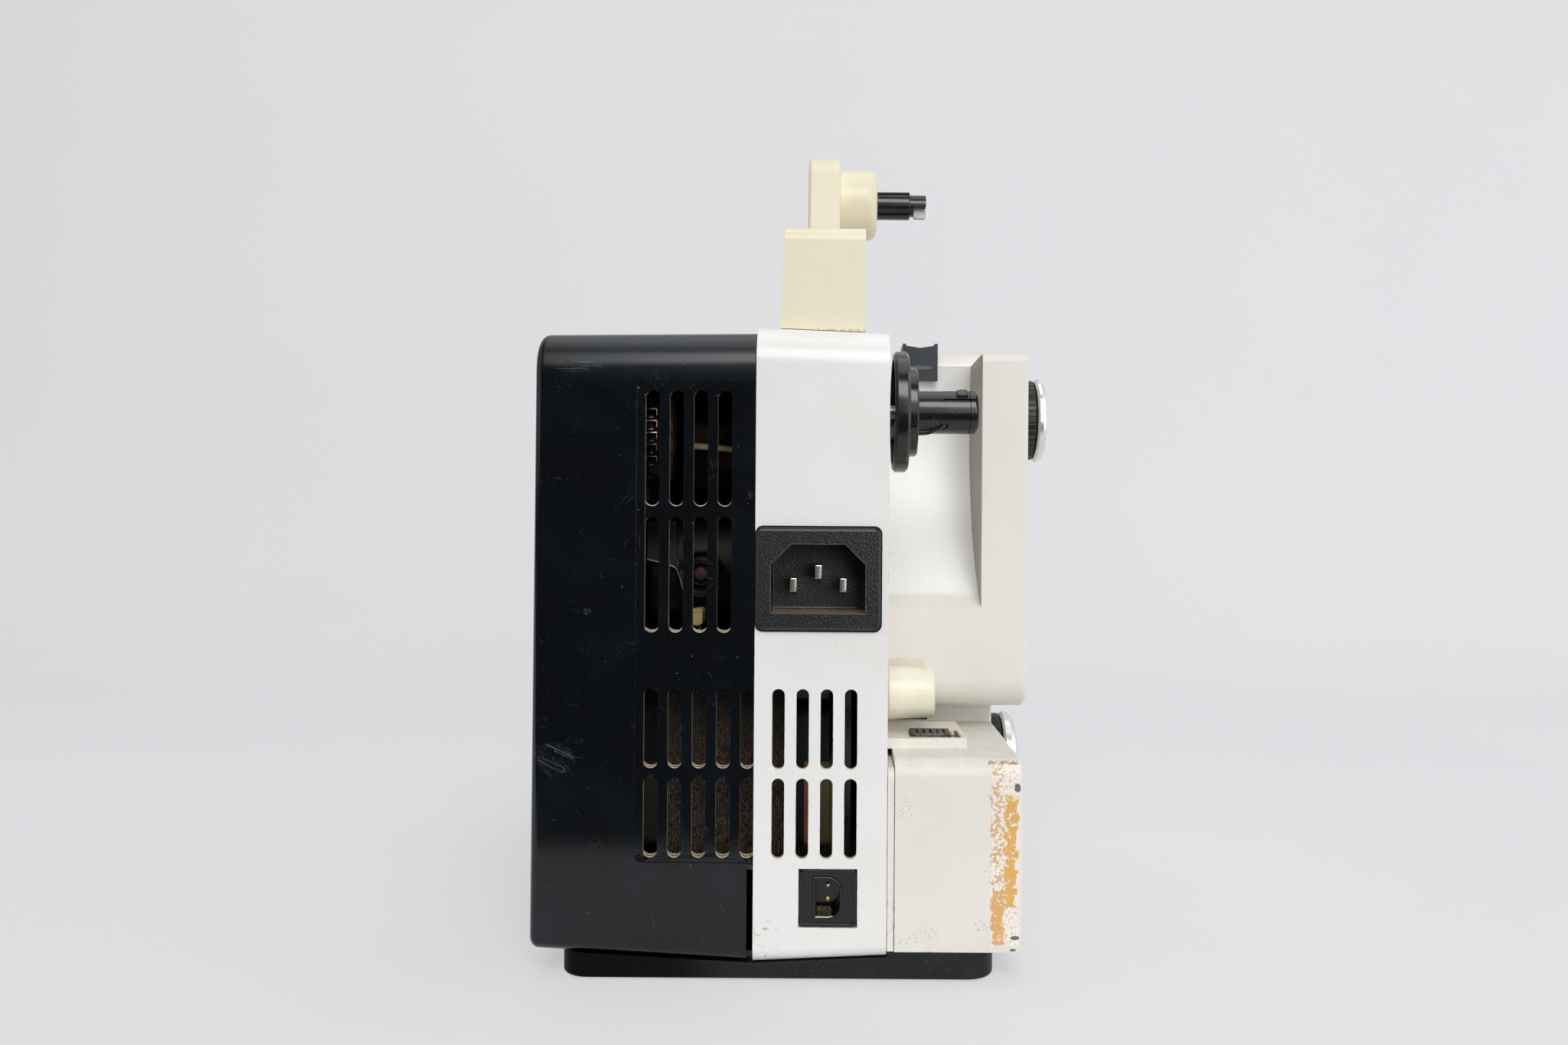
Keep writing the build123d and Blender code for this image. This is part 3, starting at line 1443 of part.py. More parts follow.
# Gate shelf on the body's side wall, which carries the mirror, the gate and the lens tube
y_gate = y_beam + gate_gap
shelf_top = beam_z - lens_radius - holder_wall - seat_gap
y_lens = y_front - lens_inset
holder = (y_lens - focus_travel + wall, y_film_front - film_wall - wall)
with BuildPart() as gate_shelf:
    block(
        (x_wall + seat_gap, x_plane + lens_radius),
        (y_beam - mirror_long / 2 - wall, holder[1]),
        (shelf_top - plate_thick, shelf_top),
    )
keep(gate_shelf.part, "gate_shelf")

# Beam mirror at 45 degrees, which turns the lamp's light forward
with BuildPart() as beam_mirror:
    with Locations(Location((x_plane + wall / 2, y_beam - wall / 2, beam_z), (0, 0, 45))):
        Box(mirror_long, glass_thick, 2 * (beam_z - shelf_top - seat_gap))
keep(beam_mirror.part, "beam_mirror")

# Film gate and pressure plate, with the aperture of one frame and the claw's slot
x_claw = x_plane - claw_offset
claw_z = beam_z - claw_low
y_press = y_gate + gate_thick + film_gap
gate_low = shelf_top + seat_gap
gate_plates = {
    "film_gate": ((y_gate, y_gate + gate_thick), gate_half),
    "pressure_plate": ((y_press, y_press + gate_thick), gate_half - small_round),
}
for name, (y_range, half_width) in gate_plates.items():
    through = (y_range[0] - wall, y_range[1] + wall)
    with BuildPart() as gate_plate:
        block(
            (x_plane - half_width, x_plane + half_width),
            y_range,
            (gate_low, 2 * beam_z - gate_low),
        )
        block(
            (x_plane - frame_wide / 2, x_plane + frame_wide / 2),
            through,
            (beam_z - frame_high / 2, beam_z + frame_high / 2),
            mode=Mode.SUBTRACT,
        )
        block(
            (x_claw - claw_room, x_claw + claw_room),
            through,
            (claw_z - small_edge, claw_z + claw_stroke + 2 * small_edge),
            mode=Mode.SUBTRACT,
        )
    keep(gate_plate.part, name)

# Film claw: a thin slide behind the gate whose tooth pulls the film down a frame at a time
with BuildPart() as film_claw:
    block(
        (x_claw - claw_width / 2, x_claw + claw_width / 2),
        (y_gate - film_gap - gate_thick, y_gate - film_gap),
        (shelf_top + run_gap, claw_z + claw_width),
    )
    block(
        (x_claw - small_round, x_claw + small_round),
        (y_gate - film_gap, y_press),
        (claw_z, claw_z + small_edge),
    )
keep(film_claw.part, "film_claw")

# Lens tube, lens barrel with its bezel, glasses and the zoom ring
with BuildPart() as lens_holder:
    tube(holder, x_plane, beam_z, lens_radius + holder_wall)
    tube((holder[0] - wall, holder[1] + wall), x_plane, beam_z, lens_radius, mode=Mode.SUBTRACT)
keep(lens_holder.part, "lens_holder")

lens_end = y_lens + lens_length
y_bezel_end = lens_end + bezel_length
rear_glass = lens_radius - barrel_wall
front_glass = lens_bezel - barrel_wall
with BuildPart() as lens_barrel:
    tube((y_lens, lens_end), x_plane, beam_z, lens_radius - shaft_gap)
    tube((lens_end, y_bezel_end), x_plane, beam_z, lens_bezel)
    chamfer(lens_barrel.faces().sort_by(Axis.Y)[-1].edges(), small_edge)
    tube((y_lens - wall, lens_end + wall), x_plane, beam_z, rear_glass, mode=Mode.SUBTRACT)
    tube((lens_end + wall, y_bezel_end + wall), x_plane, beam_z, front_glass, mode=Mode.SUBTRACT)
keep(lens_barrel.part, "lens_barrel")

with BuildPart() as lens_glass:
    front_y = (y_bezel_end - glass_back - glass_deep, y_bezel_end - glass_back)
    tube(front_y, x_plane, beam_z, front_glass - shaft_gap)
    tube((y_lens + wall, y_lens + wall + glass_deep), x_plane, beam_z, rear_glass - shaft_gap)
    fillet(lens_glass.edges().filter_by(GeomType.CIRCLE), small_edge)
keep(lens_glass.part, "lens_glass")

ring_radius = lens_bezel + ring_wall
y_ring = lens_end + glass_deep
with BuildPart() as zoom_ring:
    tube((y_ring, y_ring + ring_width), x_plane, beam_z, ring_radius)
    with BuildSketch(rear_plane(y_ring - wall)):
        with Locations((x_plane, beam_z)):
            with PolarLocations(ring_radius + flute_radius / 2, knob_flutes):
                Circle(flute_radius)
    extrude(amount=-ring_width - 2 * wall, mode=Mode.SUBTRACT)
    tube((lens_end, y_bezel_end), x_plane, beam_z, lens_bezel + shaft_gap, mode=Mode.SUBTRACT)
keep(zoom_ring.part, "zoom_ring")
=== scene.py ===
import math

import bmesh
import bpy
from mathutils import Matrix, Vector


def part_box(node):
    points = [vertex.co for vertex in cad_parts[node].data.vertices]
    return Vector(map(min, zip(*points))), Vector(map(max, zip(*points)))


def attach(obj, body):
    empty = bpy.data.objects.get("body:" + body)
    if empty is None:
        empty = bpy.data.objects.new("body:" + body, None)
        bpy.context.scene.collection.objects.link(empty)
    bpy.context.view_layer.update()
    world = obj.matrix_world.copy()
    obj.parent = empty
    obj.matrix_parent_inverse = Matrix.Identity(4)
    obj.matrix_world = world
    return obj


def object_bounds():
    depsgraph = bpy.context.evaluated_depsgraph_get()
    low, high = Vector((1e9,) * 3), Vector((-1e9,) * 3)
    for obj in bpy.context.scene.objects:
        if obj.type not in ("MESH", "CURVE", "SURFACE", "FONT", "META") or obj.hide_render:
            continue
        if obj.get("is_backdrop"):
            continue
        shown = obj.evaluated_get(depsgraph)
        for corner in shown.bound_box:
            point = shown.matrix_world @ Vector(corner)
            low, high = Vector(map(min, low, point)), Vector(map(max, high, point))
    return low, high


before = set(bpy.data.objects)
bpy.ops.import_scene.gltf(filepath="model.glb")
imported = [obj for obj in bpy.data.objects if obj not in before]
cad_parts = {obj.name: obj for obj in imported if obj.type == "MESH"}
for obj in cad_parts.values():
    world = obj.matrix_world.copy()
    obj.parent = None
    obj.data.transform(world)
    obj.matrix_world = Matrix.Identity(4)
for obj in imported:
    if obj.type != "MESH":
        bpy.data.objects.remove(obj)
cad_low, cad_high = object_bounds()

MM = 0.001
scene = bpy.context.scene
body_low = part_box("main_body")[0]
rear = body_low.y / MM
part = body_low.x / MM


# BASE TRAY, PADS AND FOOT
# The machine stands on a shallow tray of dark grey plastic, moulded with a fine leathery texture.
# Two rubber pads are pressed into its rear corners, and a wide tilting foot drops out in front.


class Finish:
    """A material being mixed: adds texture nodes and leads them to the shader."""

    def __init__(self, name, colour, roughness, shine=0.5, **shader):
        self.material = bpy.data.materials.new(name)
        self.material.use_nodes = True
        self.tree = self.material.node_tree
        self.shader = self.tree.nodes["Principled BSDF"]
        self.colour = self.flat(colour)
        self.roughness = roughness
        self.normal = None
        self.shader.inputs["Specular IOR Level"].default_value = shine
        for socket, value in shader.items():
            self.shader.inputs[socket.replace("_", " ")].default_value = value
        self.place = self.add("ShaderNodeTexCoord").outputs["Object"]

    def add(self, kind, **settings):
        """New node, with the named properties set."""
        node = self.tree.nodes.new(kind)
        for key, value in settings.items():
            setattr(node, key, value)
        return node

    def feed(self, socket, value):
        """Sets a socket to a number or a colour, or joins it to another node's output."""
        if isinstance(value, bpy.types.NodeSocket):
            self.tree.links.new(value, socket)
        else:
            socket.default_value = value

    def flat(self, colour):
        """Colour written as on a paint chart, #rrggbb, as the linear light that it stands for."""
        if not isinstance(colour, str):
            return colour
        parts = [int(colour[k:k + 2], 16) / 255 for k in (1, 3, 5)]
        return [c / 12.92 if c <= 0.04045 else ((c + 0.055) / 1.055) ** 2.4 for c in parts] + [1.0]

    def stretched(self, scale, shift=(0, 0, 0), turn=(0, 0, 0), place=None):
        """The piece's own coordinates, moved, turned and stretched."""
        node = self.add("ShaderNodeMapping", vector_type="POINT")
        self.feed(node.inputs["Vector"], place or self.place)
        node.inputs["Location"].default_value = shift
        node.inputs["Rotation"].default_value = turn
        node.inputs["Scale"].default_value = scale
        return node.outputs["Vector"]

    def noise(self, grain_mm, detail=3.0, rough=0.5, place=None):
        """Soft cloudy noise whose blotches are about grain_mm across."""
        node = self.add("ShaderNodeTexNoise")
        self.feed(node.inputs["Vector"], place or self.place)
        node.inputs["Scale"].default_value = 1 / (grain_mm * MM)
        node.inputs["Detail"].default_value = detail
        node.inputs["Roughness"].default_value = rough
        return node.outputs["Fac"]

    def cells(self, grain_mm, feature="F1", place=None):
        """Distance to scattered points about grain_mm apart."""
        node = self.add("ShaderNodeTexVoronoi", feature=feature)
        self.feed(node.inputs["Vector"], place or self.place)
        node.inputs["Scale"].default_value = 1 / (grain_mm * MM)
        return node.outputs["Distance"]

    def spread(self, value, low, high, to_low=0.0, to_high=1.0):
        """Maps low..high onto to_low..to_high and holds the ends."""
        node = self.add("ShaderNodeMapRange", interpolation_type="SMOOTHSTEP")
        for socket, number in zip(node.inputs, (value, low, high, to_low, to_high)):
            self.feed(socket, number)
        return node.outputs["Result"]

    def sum(self, operation, a, b):
        """Arithmetic on two values."""
        node = self.add("ShaderNodeMath", operation=operation)
        self.feed(node.inputs[0], a)
        self.feed(node.inputs[1], b)
        return node.outputs["Value"]

    def both(self, *masks):
        """Product of masks or numbers: on where all of them are on."""
        result = masks[0]
        for mask in masks[1:]:
            result = self.sum("MULTIPLY", result, mask)
        return result

    def along(self, axis):
        """One coordinate of the piece's own space, in metres: 0 across, 1 forward, 2 up."""
        node = self.add("ShaderNodeSeparateXYZ")
        self.feed(node.inputs[0], self.place)
        return node.outputs[axis]

    def window(self, axis, low_mm, high_mm, soft_mm=1.0):
        """On between two values of a coordinate, with soft ends."""
        value = self.along(axis)
        rise = self.spread(value, (low_mm - soft_mm) * MM, (low_mm + soft_mm) * MM)
        fall = self.spread(value, (high_mm - soft_mm) * MM, (high_mm + soft_mm) * MM, 1.0, 0.0)
        return self.both(rise, fall)

    def hairs(self, wide_mm, long_mm, angle, where=0.55, level=0.69):
        """Sparse hair scratches on an upright face, leaning by an angle in degrees."""
        leaning = self.stretched((1, 1, 1), turn=(0, math.radians(angle), 0))
        place = self.stretched((1, 1, wide_mm / long_mm), place=leaning)
        lines = self.spread(self.noise(wide_mm, 2, place=place), level, level + 0.06)
        return self.both(lines, self.spread(self.noise(8, 2), where, where + 0.08))

    def specks(self, apart_mm, size=0.12, where=0.45):
        """Small round specks of dust or dirt, scattered unevenly."""
        dots = self.spread(self.cells(apart_mm), size * 0.5, size, 1.0, 0.0)
        return self.both(dots, self.spread(self.noise(apart_mm * 2.7, 2), where, where + 0.06))

    def patch(self, x_mm, z_mm, half_x, half_z, ragged=0.5, grain_mm=1.5):
        """On in a ragged oval spot seen from the rear."""
        across = self.sum("DIVIDE", self.sum("SUBTRACT", self.along(0), x_mm * MM), half_x * MM)
        up = self.sum("DIVIDE", self.sum("SUBTRACT", self.along(2), z_mm * MM), half_z * MM)
        far = self.sum("ADD", self.both(across, across), self.both(up, up))
        rough = self.both(self.sum("SUBTRACT", self.noise(grain_mm, 4), 0.5), 4 * ragged)
        return self.spread(self.sum("ADD", far, rough), 0.75, 1.1, 1.0, 0.0)

    def strip(self, axis, low_mm, high_mm, ragged_mm=0.4, grain_mm=1.2):
        """On between two values of a coordinate, with torn edges."""
        swing = self.sum("SUBTRACT", self.noise(grain_mm, 4, 0.6), 0.5)
        torn = self.both(swing, 4 * ragged_mm * MM)
        value = self.sum("ADD", self.along(axis), torn)
        rise = self.spread(value, (low_mm - 0.1) * MM, (low_mm + 0.1) * MM)
        return self.both(rise, self.spread(value, (high_mm - 0.1) * MM, (high_mm + 0.1) * MM, 1.0, 0.0))

    def block(self, x=None, y=None, z=None):
        """On inside a block of space; each side is (low, high, how soft its ends are) in mm."""
        return self.both(*[self.window(axis, *side) for axis, side in enumerate((x, y, z)) if side])

    def facing(self, axis, low=0.3, high=0.9):
        """On where the surface faces up (2), forward (1) or across (0)."""
        node = self.add("ShaderNodeSeparateXYZ")
        self.feed(node.inputs[0], self.add("ShaderNodeNewGeometry").outputs["Normal"])
        return self.spread(node.outputs[axis], low, high)

    def edges(self, reach_mm, low=0.01, high=0.25):
        """On along edges, where a rounded normal departs from the true one."""
        rounded = self.add("ShaderNodeBevel", samples=4)
        rounded.inputs["Radius"].default_value = reach_mm * MM
        true = self.add("ShaderNodeNewGeometry").outputs["Normal"]
        dot = self.add("ShaderNodeVectorMath", operation="DOT_PRODUCT")
        self.feed(dot.inputs[0], rounded.outputs["Normal"])
        self.feed(dot.inputs[1], true)
        return self.spread(self.sum("SUBTRACT", 1.0, dot.outputs["Value"]), low, high)

    def tint(self, mask, colour, strength=1.0):
        """Lays another colour over the piece where the mask is on."""
        node = self.add("ShaderNodeMix", data_type="RGBA")
        self.feed(node.inputs["Factor"], self.both(mask, strength))
        self.feed(node.inputs[6], self.colour)
        self.feed(node.inputs[7], self.flat(colour))
        self.colour = node.outputs[2]
        return self

    def mottle(self, colour, strength, grain_mm, low, high, detail=3.0, where=None):
        """Lays another colour on in cloudy blotches, everywhere or where a mask is on."""
        blotches = self.spread(self.noise(grain_mm, detail), low, high)
        return self.tint(blotches if where is None else self.both(where, blotches), colour, strength)

    def wear_and_highlight_edges(self, colour, strength, reach_mm):
        """Lays another colour on along the edges: rubbed wear on some pieces, a painted highlight on
        others.
        """
        return self.tint(self.edges(reach_mm), colour, strength)

    def dust_and_glint_specks(self, colour, strength, apart_mm, size, where=0.45):
        """Scatters small specks of another colour: dust on most pieces, painted glints on grainy ones."""
        return self.tint(self.specks(apart_mm, size, where), colour, strength)

    def gloss(self, mask, roughness):
        """Changes how rough the surface is where the mask is on."""
        node = self.add("ShaderNodeMix", data_type="FLOAT")
        self.feed(node.inputs["Factor"], mask)
        self.feed(node.inputs[2], self.roughness)
        self.feed(node.inputs[3], roughness)
        self.roughness = node.outputs[0]
        return self

    def relief(self, height, depth_mm, strength=1.0):
        """Raises the surface by the height texture."""
        node = self.add("ShaderNodeBump")
        node.inputs["Strength"].default_value = strength
        node.inputs["Distance"].default_value = depth_mm * MM
        self.feed(node.inputs["Height"], height)
        if self.normal is not None:
            self.feed(node.inputs["Normal"], self.normal)
        self.normal = node.outputs["Normal"]
        return self

    def grain(self, grain_mm, depth_mm, strength, detail=3.0, rough=0.5, stretch=None):
        """Gives the surface a fine uneven grain, drawn out into lines if it is stretched."""
        place = self.stretched(stretch) if stretch else None
        return self.relief(self.noise(grain_mm, detail, rough, place), depth_mm, strength)

    def done(self):
        """Joins the layers to the shader and returns the material."""
        self.feed(self.shader.inputs["Base Color"], self.colour)
        self.feed(self.shader.inputs["Roughness"], self.roughness)
        if self.normal is not None:
            self.feed(self.shader.inputs["Normal"], self.normal)
        return self.material


def bevel(thing, edge_mm, segments, bend):
    """Rounds the edges that bend by more than an angle in degrees."""
    edge = thing.modifiers.new("edge", "BEVEL")
    edge.width = edge_mm * MM
    edge.segments = segments
    edge.limit_method = "ANGLE"
    edge.angle_limit = math.radians(bend)
    thing.modifiers.new("even", "WEIGHTED_NORMAL").keep_sharp = False


def dress(finish, edge_mm, *nodes):
    """Gives pieces of the frame their finish, and rounds their edges as a mould or a file leaves them."""
    for node in nodes:
        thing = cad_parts[node]
        thing.data.shade_smooth()
        for place in thing.material_slots:
            place.material = finish.done()
        if edge_mm:
            thing.modifiers.new("join", "WELD").merge_threshold = 0.002 * MM
            bevel(thing, edge_mm, 2, 32)


def piece(name, data, finish, body, edge_mm=0.0):
    """Puts a mesh or curve into the scene as a piece that moves with a body of the frame."""
    data.name = name
    thing = bpy.data.objects.new(name, data)
    scene.collection.objects.link(thing)
    data.materials.append(finish.done())
    if edge_mm:
        data.shade_smooth()
        bevel(thing, edge_mm, 3, 30)
    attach(thing, body)


def ring(work, outline, axis, end):
    """Adds an outline in mm to a mesh being built, at a place along an axis."""
    spots = [[*point[:axis], end, *point[axis:]] for point in outline]
    return [work.verts.new(Vector(spot) * MM) for spot in spots]


def join(work, near, far):
    """Closes the side between two rings that have equally many points."""
    for k in range(len(near)):
        ahead = (k + 1) % len(near)
        work.faces.new((near[k], near[ahead], far[ahead], far[k]))


def built(work):
    """Turns the faces of a mesh outward and hands it over; piece gives it its name."""
    bmesh.ops.recalc_face_normals(work, faces=work.faces)
    mesh = bpy.data.meshes.new("mesh")
    work.to_mesh(mesh)
    work.free()
    return mesh


def slabs(parts):
    """Mesh of straight-sided slabs: (outline in mm, axis it is drawn along, low end, high end) each."""
    work = bmesh.new()
    for outline, axis, low, high in parts:
        near, far = ring(work, outline, axis, low), ring(work, outline, axis, high)
        work.faces.new(near)
        work.faces.new(far[::-1])
        join(work, near, far)
    return built(work)


def oblong(a_low, a_high, b_low, b_high, corner=0.0, steps=5):
    """Outline of a rectangle in mm, with round corners if asked."""
    if not corner:
        return [(a_low, b_low), (a_high, b_low), (a_high, b_high), (a_low, b_high)]
    points = []
    middles = ((a_high, b_high, 0), (a_low, b_high, 90), (a_low, b_low, 180), (a_high, b_low, 270))
    for a, b, start in middles:
        inward_a = -corner if a == a_high else corner
        inward_b = -corner if b == b_high else corner
        for k in range(steps + 1):
            angle = math.radians(start + 90 * k / steps)
            middle_a, middle_b = a + inward_a, b + inward_b
            points.append((middle_a + corner * math.cos(angle), middle_b + corner * math.sin(angle)))
    return points


def ring_mesh(outer, inner, axis, low, high):
    """Mesh of a flat frame between two outlines with equally many points, drawn along an axis."""
    work = bmesh.new()
    corners = ((outer, low), (outer, high), (inner, high), (inner, low))
    rows = [ring(work, outline, axis, end) for outline, end in corners]
    for near, far in zip(rows, rows[1:] + rows[:1]):
        join(work, near, far)
    return built(work)


def lathe(profile, axis, centre, steps=48):
    """Mesh turned about an axis; the profile's points are (place along the axis, radius) in mm."""
    work = bmesh.new()
    turns = [2 * math.pi * k / steps for k in range(steps)]
    a, b = centre
    rows = []
    for along, radius in profile:
        circle = [(a + radius * math.cos(turn), b + radius * math.sin(turn)) for turn in turns]
        rows.append(ring(work, circle, axis, along))
    for near, far in zip(rows, rows[1:]):
        join(work, near, far)
    work.faces.new(rows[0])
    work.faces.new(rows[-1][::-1])
    mesh = built(work)
    mesh.shade_smooth()
    return mesh


def wire(name, points, radius_mm, finish, body):
    """Bent wire through the points, in mm."""
    curve = bpy.data.curves.new(name, "CURVE")
    curve.dimensions = "3D"
    curve.bevel_depth = radius_mm * MM
    curve.bevel_resolution = 4
    curve.use_fill_caps = True
    line = curve.splines.new("NURBS")
    line.points.add(len(points) - 1)
    for place, spot in zip(line.points, points):
        place.co = (*(Vector(spot) * MM), 1.0)
    line.order_u = 3
    line.use_endpoint_u = True
    piece(name, curve, finish, body)


tray = Finish("tray_plastic", "#161718", 0.5)
tray.relief(tray.cells(0.55), 0.05, 0.7).mottle("#232427", 0.6, 9, 0.45, 0.75)
tray.dust_and_glint_specks("#6b675f", 0.5, 0.9, 0.2, 0.5).wear_and_highlight_edges("#3c3d40", 0.5, 0.8)

# Its left end lies in the shade of the side cover: that shade is painted on, as a darker colour and less
# shine.
shade_left, shade_right = part - 70, part - 14
shine, shaded_shine = 0.26, 0.08
painted_shade_left_end = tray.window(0, shade_left, shade_right, 14)
tray.tint(painted_shade_left_end, "#030303", 0.85)
painted_shade_shine = tray.spread(painted_shade_left_end, 0.0, 1.0, shine, shaded_shine)
tray.feed(tray.shader.inputs["Specular IOR Level"], painted_shade_shine)
dress(tray, 0.3, "base_tray")

pads = Finish("pad_rubber", "#1d1d1e", 0.8, shine=0.2).grain(0.4, 0.05, 0.6)
pads.mottle("#3a3835", 0.6, 3, 0.5, 0.7)
dress(pads, 0, "rear_pads")

foot = Finish("foot_plastic", "#1f2022", 0.45, shine=0.35).grain(0.5, 0.03, 0.5)
foot.wear_and_highlight_edges("#4a4a4c", 0.5, 0.6)
dress(foot, 0.25, "front_foot")


# CHASSIS PLATE, MOTOR AND DRIVE
# Inside stands a zinc-plated steel plate on posts. A canned motor turns the shutter's shaft, and that
# turns the sprocket and the take-up spindle, all through round rubber belts on plastic pulleys.
plated = Finish("plate_steel", "#8e8d88", 0.42, Metallic=1.0).mottle("#5f5a50", 0.7, 6, 0.45, 0.7)
plated.grain(0.9, 0.03, 0.4, 4)
dress(plated, 0.15, "chassis_plate", "gate_shelf", "film_gate", "pressure_plate", "film_claw")

motor_can = Finish("motor_can", "#2b2928", 0.45, Metallic=0.9).grain(0.2, 0.02, 0.6, stretch=(1, 12, 12))
motor_can.mottle("#4b463c", 0.7, 12, 0.5, 0.75)
dress(motor_can, 0.2, "motor")

# A bent strap on the can's rear, with a bright rolled lower rim along its first five corners.
strap_y, strap_thick = rear + 34.8, 2.5
rim_corners, rim_radius = 5, 0.35
strap = Finish("motor_strap", "#434645", 0.32, Metallic=0.25)
strap.tint(strap.window(2, 121.5, 140, 4.5), "#0e1011", 0.95).grain(1.2, 0.05, 0.4)
outline = [
    (part - 35.2, 116.7), (part - 30.6, 115.6), (part - 27.2, 114.6), (part - 25.6, 113.2),
    (part - 23.9, 106.6), (part - 22.9, 106.9), (part - 24.6, 114.2), (part - 26.2, 118.0),
    (part - 26.2, 128.5), (part - 35.2, 128.5),
]
strap_mesh = slabs([(outline, 1, strap_y, strap_y + strap_thick)])
piece("motor_strap", strap_mesh, strap, "projector", 0.3)
rim_metal = Finish("strap_rim", "#8f918e", 0.3, Metallic=1.0).mottle("#77787a", 0.7, 1.2, 0.5, 0.7)
rim = [(x, strap_y, z) for x, z in outline[:rim_corners]]
wire("strap_rim", rim, rim_radius, rim_metal, "projector")

# The bearing boss in the middle of the can: a lipped ring round a domed brown cap.
hub_x, hub_y, hub_z = part - 18.6, rear + 33.0, 112.4
cap_radius = 2.15
hub = Finish("bearing_boss", "#120f0e", 0.5, shine=0.3)
# Its edges are painted light: painted highlights, the fine light arcs round its rings.
hub.tint(hub.patch(hub_x, hub_z, cap_radius, cap_radius, 0.0), "#5e443a", 0.9).wear_and_highlight_edges("#8a8378", 0.6, 0.25)
hub.grain(0.6, 0.03, 0.4)
hub_steps = [
    (5.0, 7.3), (1.8, 7.3), (1.6, 7.1), (1.6, 6.5), (2.8, 6.3), (2.8, 3.9), (1.0, 3.8), (0.8, 3.6),
    (0.8, 3.1), (1.8, 2.9), (1.8, 2.2), (0.4, 2.1), (0.1, 1.6), (0.0, 0.2),
]
hub_profile = [(hub_y + depth, radius) for depth, radius in hub_steps]
boss = lathe(hub_profile, 1, (hub_x, hub_z))
piece("bearing_boss", boss, hub, "projector")

# A small cream connector hangs on the can below it, with its lead running down to the transformer.
block_cream = Finish("connector_cream", "#ead190", 0.4).mottle("#b59c62", 0.6, 1.3, 0.5, 0.7)
block_cream.grain(0.7, 0.05, 0.5)
block_x, block_y, block_z = part - 19.2, rear + 31.0, 99.4
block_deep, lead_radius = 11.0, 0.45
corners = ((-1.6, 2.5), (0.9, 2.7), (1.6, 2.1), (1.45, -1.8), (0.8, -2.6), (-0.5, -2.7), (-1.6, -2.4))
corners = [(block_x + x, block_z + z) for x, z in corners]
connector = slabs([(corners, 1, block_y, block_y + block_deep)])
piece("motor_connector", connector, block_cream, "projector", 0.35)
tinned = Finish("tinned_lead", "#c49a68", 0.3, Metallic=0.9).mottle("#6b4f30", 0.6, 1.0, 0.5, 0.7)
route = [(0.4, 2.0, -2.4), (0.4, 2.0, -4.6), (0.2, 1.0, -8.0), (-1.0, -1.0, -12.0), (-1.0, -1.0, -14.9)]
route = [(block_x + x, block_y + y, block_z + z) for x, y, z in route]
wire("connector_lead", route, lead_radius, tinned, "projector")

shaft_steel = Finish("shaft_steel", "#a9a8a4", 0.28, Metallic=1.0)
shaft_steel.grain(0.3, 0.01, 0.5, stretch=(20, 1, 1)).mottle("#6d675c", 0.5, 2, 0.55, 0.75)
dress(shaft_steel, 0.12, "motor_shaft", "take_up_shaft", "film_sprocket")
dress(shaft_steel, 0.12, "control_shaft", "arm_pin", "roller_axle")

shutter = Finish("shutter_black", "#17171a", 0.5, Metallic=0.6).grain(0.5, 0.02, 0.5)
shutter.wear_and_highlight_edges("#5c5a55", 0.6, 0.4)
dress(shutter, 0.1, "shutter")

fan = Finish("fan_plastic", "#232426", 0.5).mottle("#6a6258", 0.5, 2, 0.45, 0.7, 4)
fan.grain(0.5, 0.04, 0.5)
dress(fan, 0.15, "cooling_fan")

belts = Finish("belt_rubber", "#141414", 0.7, shine=0.25).grain(0.6, 0.03, 0.6)
belts.mottle("#2d2b28", 0.6, 3, 0.5, 0.7)
dress(belts, 0.2, "motor_belt", "sprocket_belt", "take_up_belt")


# TRANSFORMER
# A mains transformer stands behind the lower slots: a stack of varnished iron sheets whose edges show as
# fine upright lines, and a coil wrapped in orange and olive tape. Decades of dust lie on it.
iron = Finish("varnished_iron", "#120d0a", 0.6, Metallic=0.2)
sheet_bands, sheet_waver, dust_line = 620.0, 0.25, 0.062
sheet = iron.add("ShaderNodeTexWave", bands_direction="X")
iron.feed(sheet.inputs["Vector"], iron.place)
sheet.inputs["Scale"].default_value = sheet_bands
sheet.inputs["Distortion"].default_value = sheet_waver
sheet.inputs["Detail Scale"].default_value = 40.0
sheet_edge = iron.spread(sheet.outputs["Fac"], 0.45, 0.8)
iron.relief(sheet.outputs["Fac"], 0.25, 0.8).mottle("#3a2014", 0.7, 5, 0.45, 0.7)
broken = iron.spread(iron.noise(0.22, 2), 0.46, 0.58)
waver = iron.both(iron.noise(16, 2), 0.02)
lower = iron.spread(iron.sum("ADD", iron.along(2), waver), dust_line, dust_line + 0.026, 1.0, 0.25)
iron.tint(iron.both(sheet_edge, broken, lower), "#c4b294", 0.65)
iron.mottle("#0c0806", 0.7, 2.5, 0.5, 0.7, where=lower)
dress(iron, 0, "transformer_core")
dress(plated, 0.15, "transformer_bracket")

# The coil is wrapped in dark varnished paper; its lower half shows tape in orange and olive.
tape = Finish("coil_tape", "#121418", 0.45, shine=0.35)
low_half = tape.window(2, 20, 57.5, 0.3)
tape.tint(low_half, "#393424", 0.9)
strips = (
    (part + 8, part + 13.7, "#14120f", 1.0), (part + 13.7, part + 16.2, "#94593a", 0.95),
    (part + 16.2, part + 30, "#6c643f", 0.9),
)
for low_x, high_x, colour, strength in strips:
    tape.tint(tape.both(low_half, tape.window(0, low_x, high_x, 0.1)), colour, strength)
tape.mottle("#2a2118", 0.5, 1.6, 0.6, 0.75, 4).grain(2.5, 0.2, 0.4, 2)
dress(tape, 0.4, "transformer_coil")

